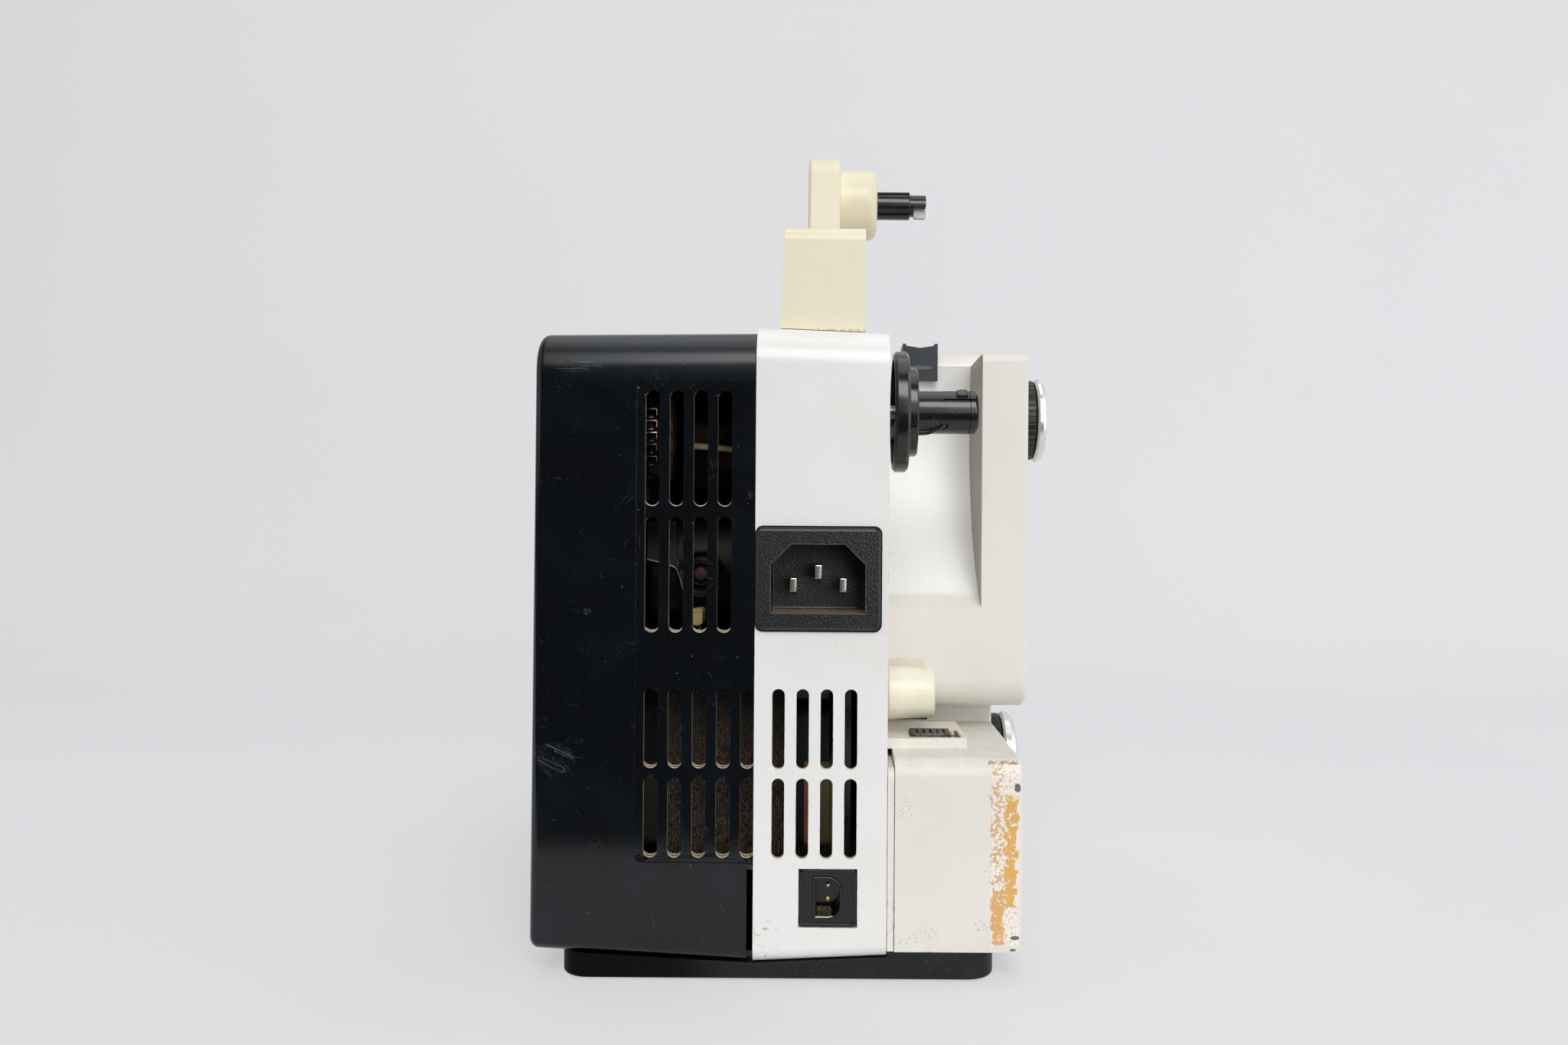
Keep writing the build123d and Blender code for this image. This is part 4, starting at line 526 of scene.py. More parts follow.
# Tape is wrapped round the coil's lower half on both sides of the core, and a bundle of tape and lead ends
# stands out of its film side, inside the body.
coil_left, core_left, core_right, coil_right = -54.0, -42.3, -7.7, 4.5
tape_foot, tape_top, tape_corner = 32.0, 57.3, 3.0
wrap = oblong(-90.6, -62.0, tape_foot, tape_top, tape_corner)
leads = oblong(-90.0, -62.0, tape_foot, tape_top, tape_corner)
bundle = slabs([
    (leads, 0, coil_right, part + 24.6), (wrap, 0, core_right, coil_right), (wrap, 0, coil_left, core_left),
])
piece("coil_lead_bundle", bundle, tape, "projector", 0.4)


# LAMP, CONDENSER AND TERMINALS
# A low-voltage lamp sits in a glass bowl reflector on a steel shelf, its pins in a ceramic holder. A row of
# screw terminals hangs behind the first slot, and takes the leads.
dress(plated, 0.15, "lamp_shelf")

bowl_glass = Finish("bowl_glass", "#7d5a38", 0.22, Metallic=0.55)
bowl_glass.relief(bowl_glass.cells(3.2), 0.3, 0.5).mottle("#3a2a1c", 0.8, 8, 0.45, 0.7)
dress(bowl_glass, 0.2, "lamp_reflector")

lamp_glass = Finish("lamp_glass", "#f2f2ee", 0.05, Transmission_Weight=1.0, IOR=1.46)
lamp_glass.gloss(lamp_glass.spread(lamp_glass.noise(1.5), 0.5, 0.8), 0.2)
dress(lamp_glass, 0, "lamp_bulb")

lens_glass = Finish("lens_glass", "#eef2f4", 0.02, Transmission_Weight=1.0, IOR=1.52, Coat_Weight=0.4)
lens_glass.gloss(lens_glass.spread(lens_glass.noise(5), 0.55, 0.8), 0.08)
dress(lens_glass, 0, "lens_glass", "condenser_lens")

ceramic = Finish("ceramic", "#cdbf93", 0.4).grain(0.8, 0.05, 0.6).mottle("#7a6a48", 0.6, 2.5, 0.5, 0.7, 4)
dress(ceramic, 0.3, "lamp_holder")

terminal = Finish("terminal_block", "#0a0807", 0.5, shine=0.12).grain(0.7, 0.1, 0.7)
reddish = terminal.block(x=(part - 26.9, part - 20, 0.6), z=(146.5, 162, 5.0))
terminal.tint(reddish, "#4a2c1e", 0.9)
terminal.tint(terminal.both(reddish, terminal.specks(0.7, 0.2, 0.55)), "#d9c9a6", 0.7)
first_slot = terminal.block(x=(part - 33, part - 28, 0.5), z=(151, 160, 2.0))
terminal.tint(first_slot, "#2a1610", 0.8)
dress(terminal, 0.15, "terminal_strip")

# Bright bridges join the strip's terminals: a bar, the end of its lug and a screw below it.
nickel = Finish("terminal_nickel", "#f2efe6", 0.2, Metallic=0.8).grain(0.3, 0.03, 0.5)
nickel.tint(nickel.window(2, 100, 152.5, 1.2), "#4b463d", 0.9).mottle("#4a3a2a", 0.8, 0.9, 0.52, 0.64)
bar_left, bar_right, bar_half = part - 32.8, part - 29.3, 0.17
bar_front, lug_front, bar_back = rear + 10.6, rear + 11.4, rear + 12.8
bars, top_bar, bar_pitch = 5, 160.8, 3.45
bridges = []
for k in range(bars):
    top = top_bar - bar_pitch * k
    lug = oblong(bar_right - 0.2, bar_right + 0.15, top - 1.9, top + 0.3)
    screw = oblong(bar_left + 1.2, bar_left + 2.4, top - 2.6, top - 2.2)
    bridges.append((oblong(bar_left, bar_right, top - bar_half, top + bar_half), 1, bar_front, bar_back))
    bridges.append((lug, 1, lug_front, bar_back))
    bridges.append((screw, 1, lug_front, bar_back))
piece("terminal_bridges", slabs(bridges), nickel, "projector", 0.12)

# A stiff card stands off the chassis plate, and a lead in a cream sleeve crosses in front of it.
card = Finish("insulating_card", "#050404", 0.7, shine=0.08)
card.tint(card.window(2, 151, 157.5, 2.0), "#6a5f3c", 0.4)
card.tint(card.block(x=(part - 12, part + 4, 3.0), z=(144.5, 151, 1.5)), "#54382a", 0.6)
card.grain(3, 0.1, 0.4)
card_left, card_right, card_top = part - 20.8, part + 2.1, 163.0
card_y, card_thick = rear + 28.5, 0.8
plank = [(card_left, 139.0), (card_right, 137.0), (card_right, card_top), (card_left, card_top)]
card_mesh = slabs([(plank, 1, card_y, card_y + card_thick)])
piece("insulating_card", card_mesh, card, "projector", 0.2)
sleeve_radius = 0.95
sleeve = Finish("cream_sleeve", "#f0dba6", 0.45).mottle("#bfa46c", 0.6, 2, 0.5, 0.75)
sleeve.grain(0.6, 0.04, 0.5)
route = [
    (-20.4, 28.6, 151.2), (-20.0, 27.2, 151.1), (-17.5, 26.8, 150.9),
    (-12.0, 26.8, 150.5), (-8.6, 27.2, 150.2), (-8.0, 28.6, 150.1),
]
route = [(part + x, rear + y, z) for x, y, z in route]
wire("cream_sleeve", route, sleeve_radius, sleeve, "projector")

mirror = Finish("mirror_silver", "#e6e8ea", 0.04, Metallic=1.0)
mirror.gloss(mirror.spread(mirror.noise(2), 0.6, 0.8), 0.3)
dress(mirror, 0.15, "beam_mirror")


# LENS
# The zoom lens slides in an aluminium tube to focus. Its black barrel has a wide bezel in front, and a
# knurled silver ring turns on it.
turned = Finish("turned_aluminium", "#c2c2bf", 0.3, Metallic=1.0)
turned.grain(0.25, 0.01, 0.5, stretch=(1, 14, 1)).mottle("#8f8d86", 0.5, 5, 0.5, 0.75)
dress(turned, 0.2, "lens_holder")
dress(turned, 0.15, "zoom_ring")

barrel_black = Finish("barrel_black", "#111214", 0.35, shine=0.4).grain(0.4, 0.02, 0.4)
barrel_black.wear_and_highlight_edges("#4a4a4a", 0.5, 0.5)
dress(barrel_black, 0.25, "lens_barrel")


# WHITE BODY
# The middle of the case is a cast shell, sprayed with white enamel that dried with a fine orange-peel
# surface. Dirt has settled in it, and the paint is chipped along its lower edge.
enamel = Finish("white_enamel", "#ebebe8", 0.3, shine=0.45).grain(1.1, 0.16, 0.35, 2, 0.4)
enamel.grain(0.35, 0.02, 0.3, 2).mottle("#e3e2dd", 0.6, 30, 0.4, 0.75)
enamel.mottle("#8d8468", 0.6, 14, 0.56, 0.62, 2, where=enamel.specks(0.9, 0.16, 0.5))
left_foot = enamel.block(x=(part - 1, part + 6, 2.5), z=(3.0, 17.0, 3.0))
enamel.mottle("#8a7250", 0.8, 1.4, 0.56, 0.7, 5, where=left_foot)
enamel.mottle("#7c6a52", 0.8, 3.5, 0.52, 0.66, 4, where=enamel.edges(0.45))
in_slots = enamel.block((part + 4, part + 30, 0.3), (rear + 0.2, rear + 6, 0.15), (30, 86, 0.5))
enamel.tint(enamel.both(in_slots, enamel.facing(2, 0.1, 0.5)), "#cdb898", 0.9)
enamel.mottle("#4a3d30", 0.7, 0.5, 0.5, 0.62, where=in_slots)
dress(enamel, 0.35, "main_body")


# MAINS INLET
# A black moulded inlet snaps into the body, with a bevelled flange and a deep cavity. Three flat plated
# blades stand in it, and brown dust lies on the cavity's floor.
inlet_low, inlet_high = (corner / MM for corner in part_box("mains_inlet"))
inlet = Finish("inlet_black", "#141617", 0.36, shine=0.4)
# The inlet's light specks are painted glints of its grain, and its lighter edges are a painted highlight.
inlet.relief(inlet.cells(0.45), 0.09, 0.9).dust_and_glint_specks("#7d8280", 0.6, 0.5, 0.2, 0.42)
inlet.wear_and_highlight_edges("#85888a", 0.65, 0.5)
dusty_floor = inlet.both(inlet.facing(2, 0.2, 0.7), inlet.window(1, rear - 1.0, rear + 30, 0.2))
inlet.mottle("#a5866f", 0.9, 1.6, 0.25, 0.55, 4, where=dusty_floor)

# A painted highlight lies on the bevels of the flange's upper edge and of the cavity's lower one.
highlight_height, cavity_foot = 0.32, 103.6
highlight_bevels = ((inlet_high.z - 0.95, part + 1.5, part + 33.5), (cavity_foot, part + 4.6, part + 28.6))
for low_z, low_x, high_x in highlight_bevels:
    painted_highlight_band = inlet.block(x=(low_x, high_x, 0.4), z=(low_z, low_z + highlight_height, 0.07))
    inlet.tint(inlet.both(painted_highlight_band, inlet.facing(1, -0.3, -0.7)), "#83878a", 0.65)
dress(inlet, 0.3, "mains_inlet")

# A thin black ring round the flange is painted shade, standing for the shadow in the gap between flange and
# body.
shadow_ring_inset = 1.2
rubber = Finish("painted_shadow_line", "#08090a", 0.7, shine=0.2).grain(0.4, 0.02, 0.5)
outer = oblong(inlet_low.x - 0.1, inlet_high.x + 0.35, inlet_low.z - 0.5, inlet_high.z + 0.45, 2.2)
inner = oblong(
    inlet_low.x + shadow_ring_inset, inlet_high.x - shadow_ring_inset,
    inlet_low.z + shadow_ring_inset, inlet_high.z - shadow_ring_inset, 1.0,
)
shadow_ring = ring_mesh(outer, inner, 1, rear - 0.3, rear - 0.02)
piece("inlet_shadow_ring", shadow_ring, rubber, "projector")

blades = Finish("blade_plate", "#cfcac0", 0.22, Metallic=1.0)
blades.grain(0.4, 0.02, 0.4, stretch=(1, 0.1, 1)).mottle("#8b7d66", 0.6, 1.2, 0.55, 0.7)
dress(blades, 0.3, "inlet_blades")


# TWO-PIN SOCKET
# A glossy black square insert, pushed into the body, with a D-shaped recess and two small brass contacts.
glossy = Finish("socket_black", "#06080a", 0.1, shine=0.5).grain(2.5, 0.12, 0.4)
glossy.dust_and_glint_specks("#8c8a84", 0.5, 1.0, 0.12, 0.5)
socket_low, socket_high = (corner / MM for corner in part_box("two_pin_socket"))
socket_x, socket_z = (socket_low.x + socket_high.x) / 2, (socket_low.z + socket_high.z) / 2
key_foot = glossy.block(x=(socket_x - 3, socket_x + 1, 0.3), z=(socket_z - 5.3, socket_z - 4.3, 0.2))
glossy.mottle("#8d7f60", 0.7, 0.35, 0.42, 0.58, 4, where=key_foot)
lower_edge = glossy.window(2, socket_low.z - 1, socket_low.z + 0.5, 0.15)
glossy.mottle("#8a6a44", 0.8, 1.5, 0.3, 0.5, where=lower_edge)
dress(glossy, 0.25, "two_pin_socket")
key_half_x, key_half_z = 3.3, 5.1


def socket_frame(inset, corner):
    """Outline of the square insert, drawn in by a margin."""
    low_x, high_x = socket_low.x + inset, socket_high.x - inset
    return oblong(low_x, high_x, socket_low.z + inset, socket_high.z - inset, corner)


def d_outline(grow):
    """D-shaped outline of the recess with its round side to the right, grown outward by a margin."""
    flat_x, end_z = socket_x - key_half_x - grow, key_half_z + grow
    points = [(flat_x, socket_z + end_z), (flat_x, socket_z - end_z)]
    bow, straight = key_half_x + grow, key_half_z - key_half_x
    for angle in range(-90, 91, 15):
        turn = math.radians(angle)
        centre_z = socket_z + straight if angle > 0 else socket_z - straight
        points.append((socket_x + bow * math.cos(turn), centre_z + bow * math.sin(turn)))
    return points


# A rounded rim frames the insert, and a raised lip runs round its D-shaped recess. A painted highlight lies
# on the lip's upward faces at the foot of the D.
lip_gloss = Finish("lip_gloss", "#0a0c0e", 0.12, shine=0.5).grain(0.8, 0.02, 0.4)
lip_gloss.wear_and_highlight_edges("#5c6062", 0.6, 0.3)
lip_highlight_band = lip_gloss.window(2, socket_z - 6.4, socket_z - 4.9, 0.1)
lip_gloss.tint(lip_gloss.both(lip_gloss.facing(2, 0.2, 0.7), lip_highlight_band), "#d4d6d4", 0.8)
rim = ring_mesh(socket_frame(0.05, 1.1), socket_frame(0.95, 0.8), 1, rear + 0.1, rear + 0.7)
piece("socket_rim", rim, lip_gloss, "projector", 0.25)
lip = ring_mesh(d_outline(0.95), d_outline(0.0), 1, rear - 0.15, rear + 0.75)
piece("socket_lip", lip, lip_gloss, "projector", 0.38)

brass = Finish("contact_brass", "#fbdc8e", 0.35, Metallic=0.7).grain(0.5, 0.03, 0.5)
brass.mottle("#6e5324", 0.6, 0.8, 0.5, 0.7)
dress(brass, 0.15, "socket_contacts")


# BLACK SIDE COVER
# The left half of the case is one deep moulding in glossy black plastic, with rows of slots over the lamp
# and the transformer. It is scuffed near its corners, and dust sticks to the slots' lower ends, where
# painted highlights lie on the edges. A painted sheen lies along its rounded top edge.
cover = Finish("cover_plastic", "#020508", 0.11, shine=0.46).grain(0.6, 0.02, 0.3, 2)
cover.grain(9, 0.03, 0.25, 2)
cover.gloss(cover.spread(cover.noise(14, 4), 0.45, 0.75), 0.19)
cover.mottle("#061018", 0.8, 22, 0.45, 0.75, 4)
cover.gloss(cover.window(2, 170, 190, 5.0), 0.34)
# A painted sheen lies along the rounded top edge: a lighter bluish band that fades at its ends.
painted_top_sheen = cover.block(x=(part - 52, part, 8.0), z=(168, 181, 4.0))
cover.tint(painted_top_sheen, "#0c161d", 0.8).dust_and_glint_specks("#7c8286", 0.5, 0.9, 0.085, 0.5)
cover.dust_and_glint_specks("#c4c6c4", 0.7, 3.4, 0.045, 0.5)
for lean, where in ((38, 0.5), (-52, 0.52), (80, 0.54), (8, 0.56)):
    cover.tint(cover.hairs(0.22, 9.0, lean, where), "#4c555c", 0.6)

# Its scuffs: the middle of each, its half widths, and how its strokes lean.
deep_scuffs = (
    (part - 50.5, 171.5, 8.0, 1.7, 82), (part - 55.5, 62.0, 5.5, 5.0, 55),
    (part - 47.0, 103.0, 1.4, 1.0, 20), (part - 1.5, 136.0, 1.0, 1.2, 0),
)
faint_scuffs = ((part - 31.6, 121.5, 1.0, 5.5, 5), (part - 28.0, 168.0, 3.4, 3.4, 25))
at_rear = cover.window(1, rear - 1, rear + 30, 0.5)
for x, z, half_x, half_z, lean in deep_scuffs:
    rubbed = cover.both(cover.patch(x, z, half_x, half_z, 0.5, 4.0), at_rear)
    cover.tint(cover.both(rubbed, cover.hairs(0.35, 14.0, lean, 0.1, 0.5)), "#24292c", 0.5)
    cover.tint(cover.both(rubbed, cover.hairs(0.18, 11.0, lean + 8, 0.1, 0.6)), "#686d70", 0.6)
    cover.tint(cover.both(rubbed, cover.specks(0.45, 0.25, 0.45)), "#8f9394", 0.5)
for x, z, half_x, half_z, lean in faint_scuffs:
    rubbed = cover.both(cover.patch(x, z, half_x, half_z, 0.5, 4.0), at_rear)
    cover.tint(cover.both(rubbed, cover.hairs(0.16, 10.0, lean, 0.1, 0.60)), "#54595b", 0.5)

# Dust lies in the slots, on the walls that face the film side and on their lower ends. On the walls it is
# mixed with a painted highlight, and a bright painted highlight with dust runs along the back edge of each
# lower end.
in_slots = cover.block((part - 32, part - 0.6, 0.3), (rear + 0.85, rear + 9, 0.1), (34, 170, 0.1))
dust = cover.spread(cover.noise(0.7, 4), 0.25, 0.6, 0.55, 1.0)
cover.tint(cover.both(in_slots, cover.facing(0, 0.5, 0.9), dust), "#cfc1a2", 0.95)
cover.tint(cover.both(in_slots, cover.facing(2, 0.1, 0.5), dust), "#a08570", 0.9)
highlight_edge = cover.window(1, rear + 2.2, rear + 3.2, 0.08)
cover.tint(cover.both(in_slots, cover.facing(2, 0.15, 0.6), highlight_edge), "#fff4dc", 0.95)
# The edges are painted lighter: rubbed plastic with a painted highlight.
cover.mottle("#3c4144", 0.4, 2, 0.42, 0.6, 4, where=cover.edges(0.4))
dress(cover, 0.35, "side_cover")

# Every slot ends below in a thin moulded lip, and dust lies on it: a bright line in front and another at
# the back, painted highlights of the lip's edges mixed with dust, and brown dust between them.
slot_pitch = 6.75
cover_first, cover_radius = part - 28.9, 2.0
body_first, body_radius = part + 6.8, 1.75
lip_front, dust_front, back_front, back_end = rear + 0.62, rear + 1.1, rear + 1.9, rear + 2.4
inner_share = 0.97
lip_dust_and_glint = Finish("lip_dust_and_glint", "#e2d3b3", 0.7, shine=0.2).mottle("#a28a6c", 0.8, 0.8, 0.5, 0.64)
lip_dust_and_glint.grain(0.3, 0.05, 0.6)
brown_dust = Finish("brown_dust", "#85705f", 0.8, shine=0.1).mottle("#4a382b", 0.8, 0.5, 0.45, 0.6)
brown_dust.grain(0.3, 0.05, 0.6)

# For each block of slots: its first column, its columns, the slots' radius, and for each row the slots'
# lower end, how thick the dust lies and how wide the bright line of painted highlight and dust is. Thin
# dust has no line at the back.
slot_blocks = (
    (cover_first, 4, cover_radius, ((132.64, 0.3, 0.22), (97.37, 0.6, 0.22))),
    (cover_first, 5, cover_radius, ((59.51, 0.55, 0.13), (34.54, 0.6, 0.13))),
    (body_first, 4, body_radius, ((59.51, 0.1, 0.13), (34.54, 0.1, 0.13))),
)
thin_dust = 0.5


def slot_lip(centre_x, low_z, radius, thick):
    """Outline of a thin sickle that lies in the round lower end of a slot."""
    centre_z = low_z + radius
    points = []
    for angle in range(195, 346, 15):
        turn = math.radians(angle)
        points.append((centre_x + radius * math.cos(turn), centre_z + radius * math.sin(turn)))
    for angle in range(330, 209, -15):
        turn = math.radians(angle)
        inner_x = centre_x + inner_share * radius * math.cos(turn)
        points.append((inner_x, centre_z + (radius - thick) * math.sin(turn)))
    return points


lips, middles = [], []
for first, columns, radius, rows in slot_blocks:
    for column in range(columns):
        x = first + column * slot_pitch
        for low_z, thick, line in rows:
            lips.append((slot_lip(x, low_z, radius, line), 1, lip_front, dust_front))
            if thick > thin_dust:
                middles.append((slot_lip(x, low_z, radius, thick - line), 1, dust_front, back_front))
                lips.append((slot_lip(x, low_z, radius, thick), 1, back_front, back_end))
piece("slot_lips", slabs(lips), lip_dust_and_glint, "projector")
piece("slot_dust", slabs(middles), brown_dust, "projector")

screw_zinc = Finish("screw_zinc", "#9a9990", 0.35, Metallic=1.0).grain(0.4, 0.02, 0.5)
screw_zinc.mottle("#5a4c38", 0.6, 0.9, 0.5, 0.7)
dress(screw_zinc, 0.15, "case_screws")


# HANDLE AND SUPPLY ARM
# The carrying handle and the folding arm are cream mouldings that have yellowed with age. The arm turns on
# a pin between the handle's front cheeks.
cream = Finish("cream_plastic", "#ebe3c8", 0.36, shine=0.45).grain(0.9, 0.04, 0.3, 2)
cream.mottle("#e4d9b8", 0.6, 25, 0.4, 0.75)
cream.mottle("#8d7a52", 0.6, 12, 0.5, 0.6, 2, where=cream.specks(1.2, 0.13, 0.5))
cream.mottle("#c0ad80", 0.6, 3, 0.5, 0.66, 4, where=cream.edges(0.5))
# A brown band along the handle's foot is painted shade in the gap to the body.
cream.mottle("#a58a60", 0.5, 1.5, 0.4, 0.6, where=cream.window(2, 180, 183.9, 0.1))
dress(cream, 0.6, "carry_handle")
dress(cream, 0.5, "supply_arm")

spindle = Finish("spindle_black", "#0c0d0e", 0.2, shine=0.5).grain(0.3, 0.012, 0.5, stretch=(8, 1, 1))
spindle.wear_and_highlight_edges("#3c3c3c", 0.5, 0.35).dust_and_glint_specks("#8a867c", 0.6, 0.9, 0.12, 0.48)
dress(spindle, 0.25, "supply_spindle")
dress(plated, 0.25, "spindle_key")


# TAKE-UP SPINDLE
# The take-up spindle is a black moulding: a cupped flange, a shoulder for the reel and a hollow barrel with
# a sprung tongue, held out by a bent wire.
barrel_low, barrel_high = (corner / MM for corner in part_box("take_up_barrel"))
axle_y, axle_z = (barrel_low.y + barrel_high.y) / 2, (barrel_low.z + barrel_high.z) / 2
reel = Finish("reel_black", "#0d0e0f", 0.2, shine=0.55).grain(0.3, 0.01, 0.5, stretch=(8, 1, 1))
reel.grain(3, 0.05, 0.3, 2).wear_and_highlight_edges("#4a4b4b", 0.6, 0.3).dust_and_glint_specks("#8f8a7c", 0.7, 0.7, 0.14, 0.46)
underside = reel.block(x=(barrel_low.x - 3, barrel_low.x + 7, 1.5), z=(axle_z - 8, axle_z - 1.8, 1.2))
reel.tint(reel.both(underside, reel.specks(0.38, 0.32, 0.42)), "#8a7f66", 0.6)
dress(reel, 0.1, "take_up_disc")
dress(reel, 0.15, "take_up_barrel")


def on_barrel(mesh, turn):
    """Moves a mesh made about the X axis onto the barrel, turned towards the rear by some degrees."""
    place = Matrix.Translation(Vector((barrel_low.x, axle_y, axle_z)) * MM)
    mesh.transform(place @ Matrix.Rotation(math.radians(turn), 4, "X"))
    return mesh


# The tongue ends in a hooked lump that holds the reel on.
hook = [(11.3, 5.7), (11.3, 6.5), (11.8, 6.95), (12.6, 7.15), (14.2, 7.15), (14.8, 6.8), (14.9, 5.7)]
hook_half, tongue_turn = 1.55, 37
hook_mesh = on_barrel(slabs([(hook, 1, -hook_half, hook_half)]), tongue_turn)
piece("tongue_hook", hook_mesh, reel, "take_up", 0.3)

# A fine dark joint shows where the end cap is pressed on.
joint_dark = Finish("joint_dark", "#020202", 0.7, shine=0.1).grain(0.5, 0.02, 0.5)
joint_radius, joint_along = 6.32, (15.3, 15.5)
end_joint = lathe([(along, joint_radius) for along in joint_along], 0, (0, 0), 64)
piece("end_joint", on_barrel(end_joint, 0), joint_dark, "take_up")

# A hairpin of spring wire lies along the barrel's underside and hooks into the square hole.
spring = Finish("spring_wire", "#4a4a4a", 0.3, Metallic=0.8).mottle("#1a1918", 0.7, 1.2, 0.5, 0.7)
spring.grain(0.3, 0.01, 0.4)
spring_radius = 0.26
for side, apart in (("near", 0.0), ("far", 0.45)):
    route = [
        (-0.3, -2.3, -6.75 + apart), (3.0, -2.6 - apart, -6.6 + apart), (3.9, -3.0 - apart, -6.3 + apart),
        (7.6, -5.1, -4.6 + apart / 1.5), (8.2, -4.6, -4.2),
    ]
    route = [(barrel_low.x + x, axle_y + y, axle_z + z) for x, y, z in route]
    wire("hairpin_" + side, route, spring_radius, spring, "take_up")


# FILM HOUSING, CHUTE AND ROLLER
# The film side is an off-white painted casting with a round hollow for the reel at its rear. The film goes
# in through a black chute on top, and comes out below over a cream roller.
casting = Finish("film_paint", "#e4e0d8", 0.42, shine=0.4).grain(0.9, 0.06, 0.3, 2)
casting.mottle("#dedad0", 0.6, 35, 0.4, 0.75)
# Inside the hollow, the faces that look back or down are painted near white: painted light.
lit_hollow_faces = casting.sum("MAXIMUM", casting.facing(1, -0.3, -0.7), casting.facing(2, -0.3, -0.7))
hollow = casting.block(y=(rear + 55, rear + 150, 2.0), z=(90, 183, 3.0))
casting.tint(casting.both(lit_hollow_faces, hollow), "#fdfcf9", 1.0)
# The inner side wall that faces the hollow is painted dark: painted shade.
shaded_inner_wall = casting.window(1, rear + 49, rear + 150, 1.0)
casting.tint(casting.both(casting.facing(0, -0.4, -0.9), shaded_inner_wall), "#7c7365", 0.85)
casting.mottle("#91876f", 0.6, 12, 0.52, 0.6, 2, where=casting.specks(1.1, 0.13, 0.5))
casting.mottle("#9a8f78", 0.6, 2.5, 0.56, 0.7, 4, where=casting.edges(0.45))
casting.tint(casting.patch(part + 43, 83.0, 9.0, 3.2, 0.5, 3.0), "#d8cfba", 0.55)
dress(casting, 0.4, "film_housing")

chute = Finish("chute_plastic", "#12181d", 0.3, shine=0.5).grain(0.8, 0.02, 0.4)
chute.wear_and_highlight_edges("#565b5e", 0.6, 0.35).dust_and_glint_specks("#8a8c8c", 0.5, 0.9, 0.12, 0.5)
chute_low, chute_high = (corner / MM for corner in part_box("film_chute"))
# A painted highlight lies across the bend of the chute's floor.
glint_x, glint_z, glint_half = (chute_low.x + chute_high.x) / 2, chute_low.z + 4.6, 4.6
chute.tint(chute.patch(glint_x, glint_z, glint_half, 0.7, 0.1), "#56626b", 0.7)
dress(chute, 0.2, "film_chute")

roller = Finish("roller_plastic", "#e9e5d0", 0.32, shine=0.45).grain(0.3, 0.01, 0.4, stretch=(6, 1, 1))
roller.mottle("#e2dcb9", 0.6, 6, 0.45, 0.75)
dress(roller, 0.3, "guide_roller")


# CONTROL HOUSING AND SWITCH
# The lower box is painted steel. Its rear face keeps the yellowed glue of a strip that has been peeled off,
# and its paint is rubbed and rusty along the edges.
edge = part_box("control_housing")[1].x / MM
paint = Finish("box_paint", "#e4e0d8", 0.45, shine=0.35).grain(0.9, 0.06, 0.3, 2)
paint.mottle("#dad5ca", 0.7, 18, 0.45, 0.8, 4)
paint.mottle("#d8d1c3", 0.6, 5, 0.35, 0.7, 4, where=paint.facing(2))
for x, z, half_x in ((part + 48.0, 13.5, 4.0), (part + 43.0, 11.5, 3.0), (edge - 12.0, 16.0, 2.5)):
    spot = paint.both(paint.patch(x, z, half_x, 1.6, 0.5), paint.specks(0.8, 0.32, 0.3))
    paint.tint(spot, "#9a8468", 0.7)
paint.mottle("#8d7454", 0.7, 10, 0.5, 0.58, 2, where=paint.specks(1.1, 0.14, 0.45))
spot = paint.both(paint.patch(part + 42.5, 48.5, 2.6, 4.0, 0.5), paint.specks(0.7, 0.25, 0.3))
paint.tint(spot, "#8a6f50", 0.8)

# Where the strip was peeled off, the rear face keeps a pale ground, tan speckles and a tongue of glue.
glue_foot, glue_top = 10.7, 61.0
rear_face = paint.facing(1, -0.2, -0.6)
tall = paint.both(rear_face, paint.strip(2, glue_foot - 0.1, glue_top + 0.3, 0.4))
ground = paint.both(tall, paint.strip(0, edge - 8.7, edge - 0.9, 0.25))
paint.tint(ground, "#efebe2", 0.85)

# For each layer of glue: its sides, foot and top, how coarse and how full it is, its colour and strength.
glue_layers = (
    (edge - 8.8, edge - 5.5, glue_foot, glue_top, 0.9, 0.47, "#cf9c5c", 0.8),
    (edge - 8.6, edge - 5.2, glue_foot, 25.0, 1.3, 0.38, "#dba660", 0.9),
    (edge - 5.6, edge - 1.0, glue_foot, glue_top - 0.5, 0.8, 0.53, "#d9a860", 0.8),
    (edge - 5.2, edge - 1.6, 21.0, 52.0, 1.8, 0.40, "#e0a94e", 0.95),
)
for low_x, high_x, low_z, high_z, grain, share, colour, strength in glue_layers:
    sides, ends = paint.strip(0, low_x, high_x, 1.1, 3.2), paint.strip(2, low_z, high_z, 2.0, 3.0)
    band = paint.both(rear_face, tall, sides, ends)
    glue = paint.both(band, paint.spread(paint.noise(grain, 5, 0.6), share, share + 0.07))
    paint.tint(glue, colour, strength)
paint.relief(glue, 0.15, 0.6)

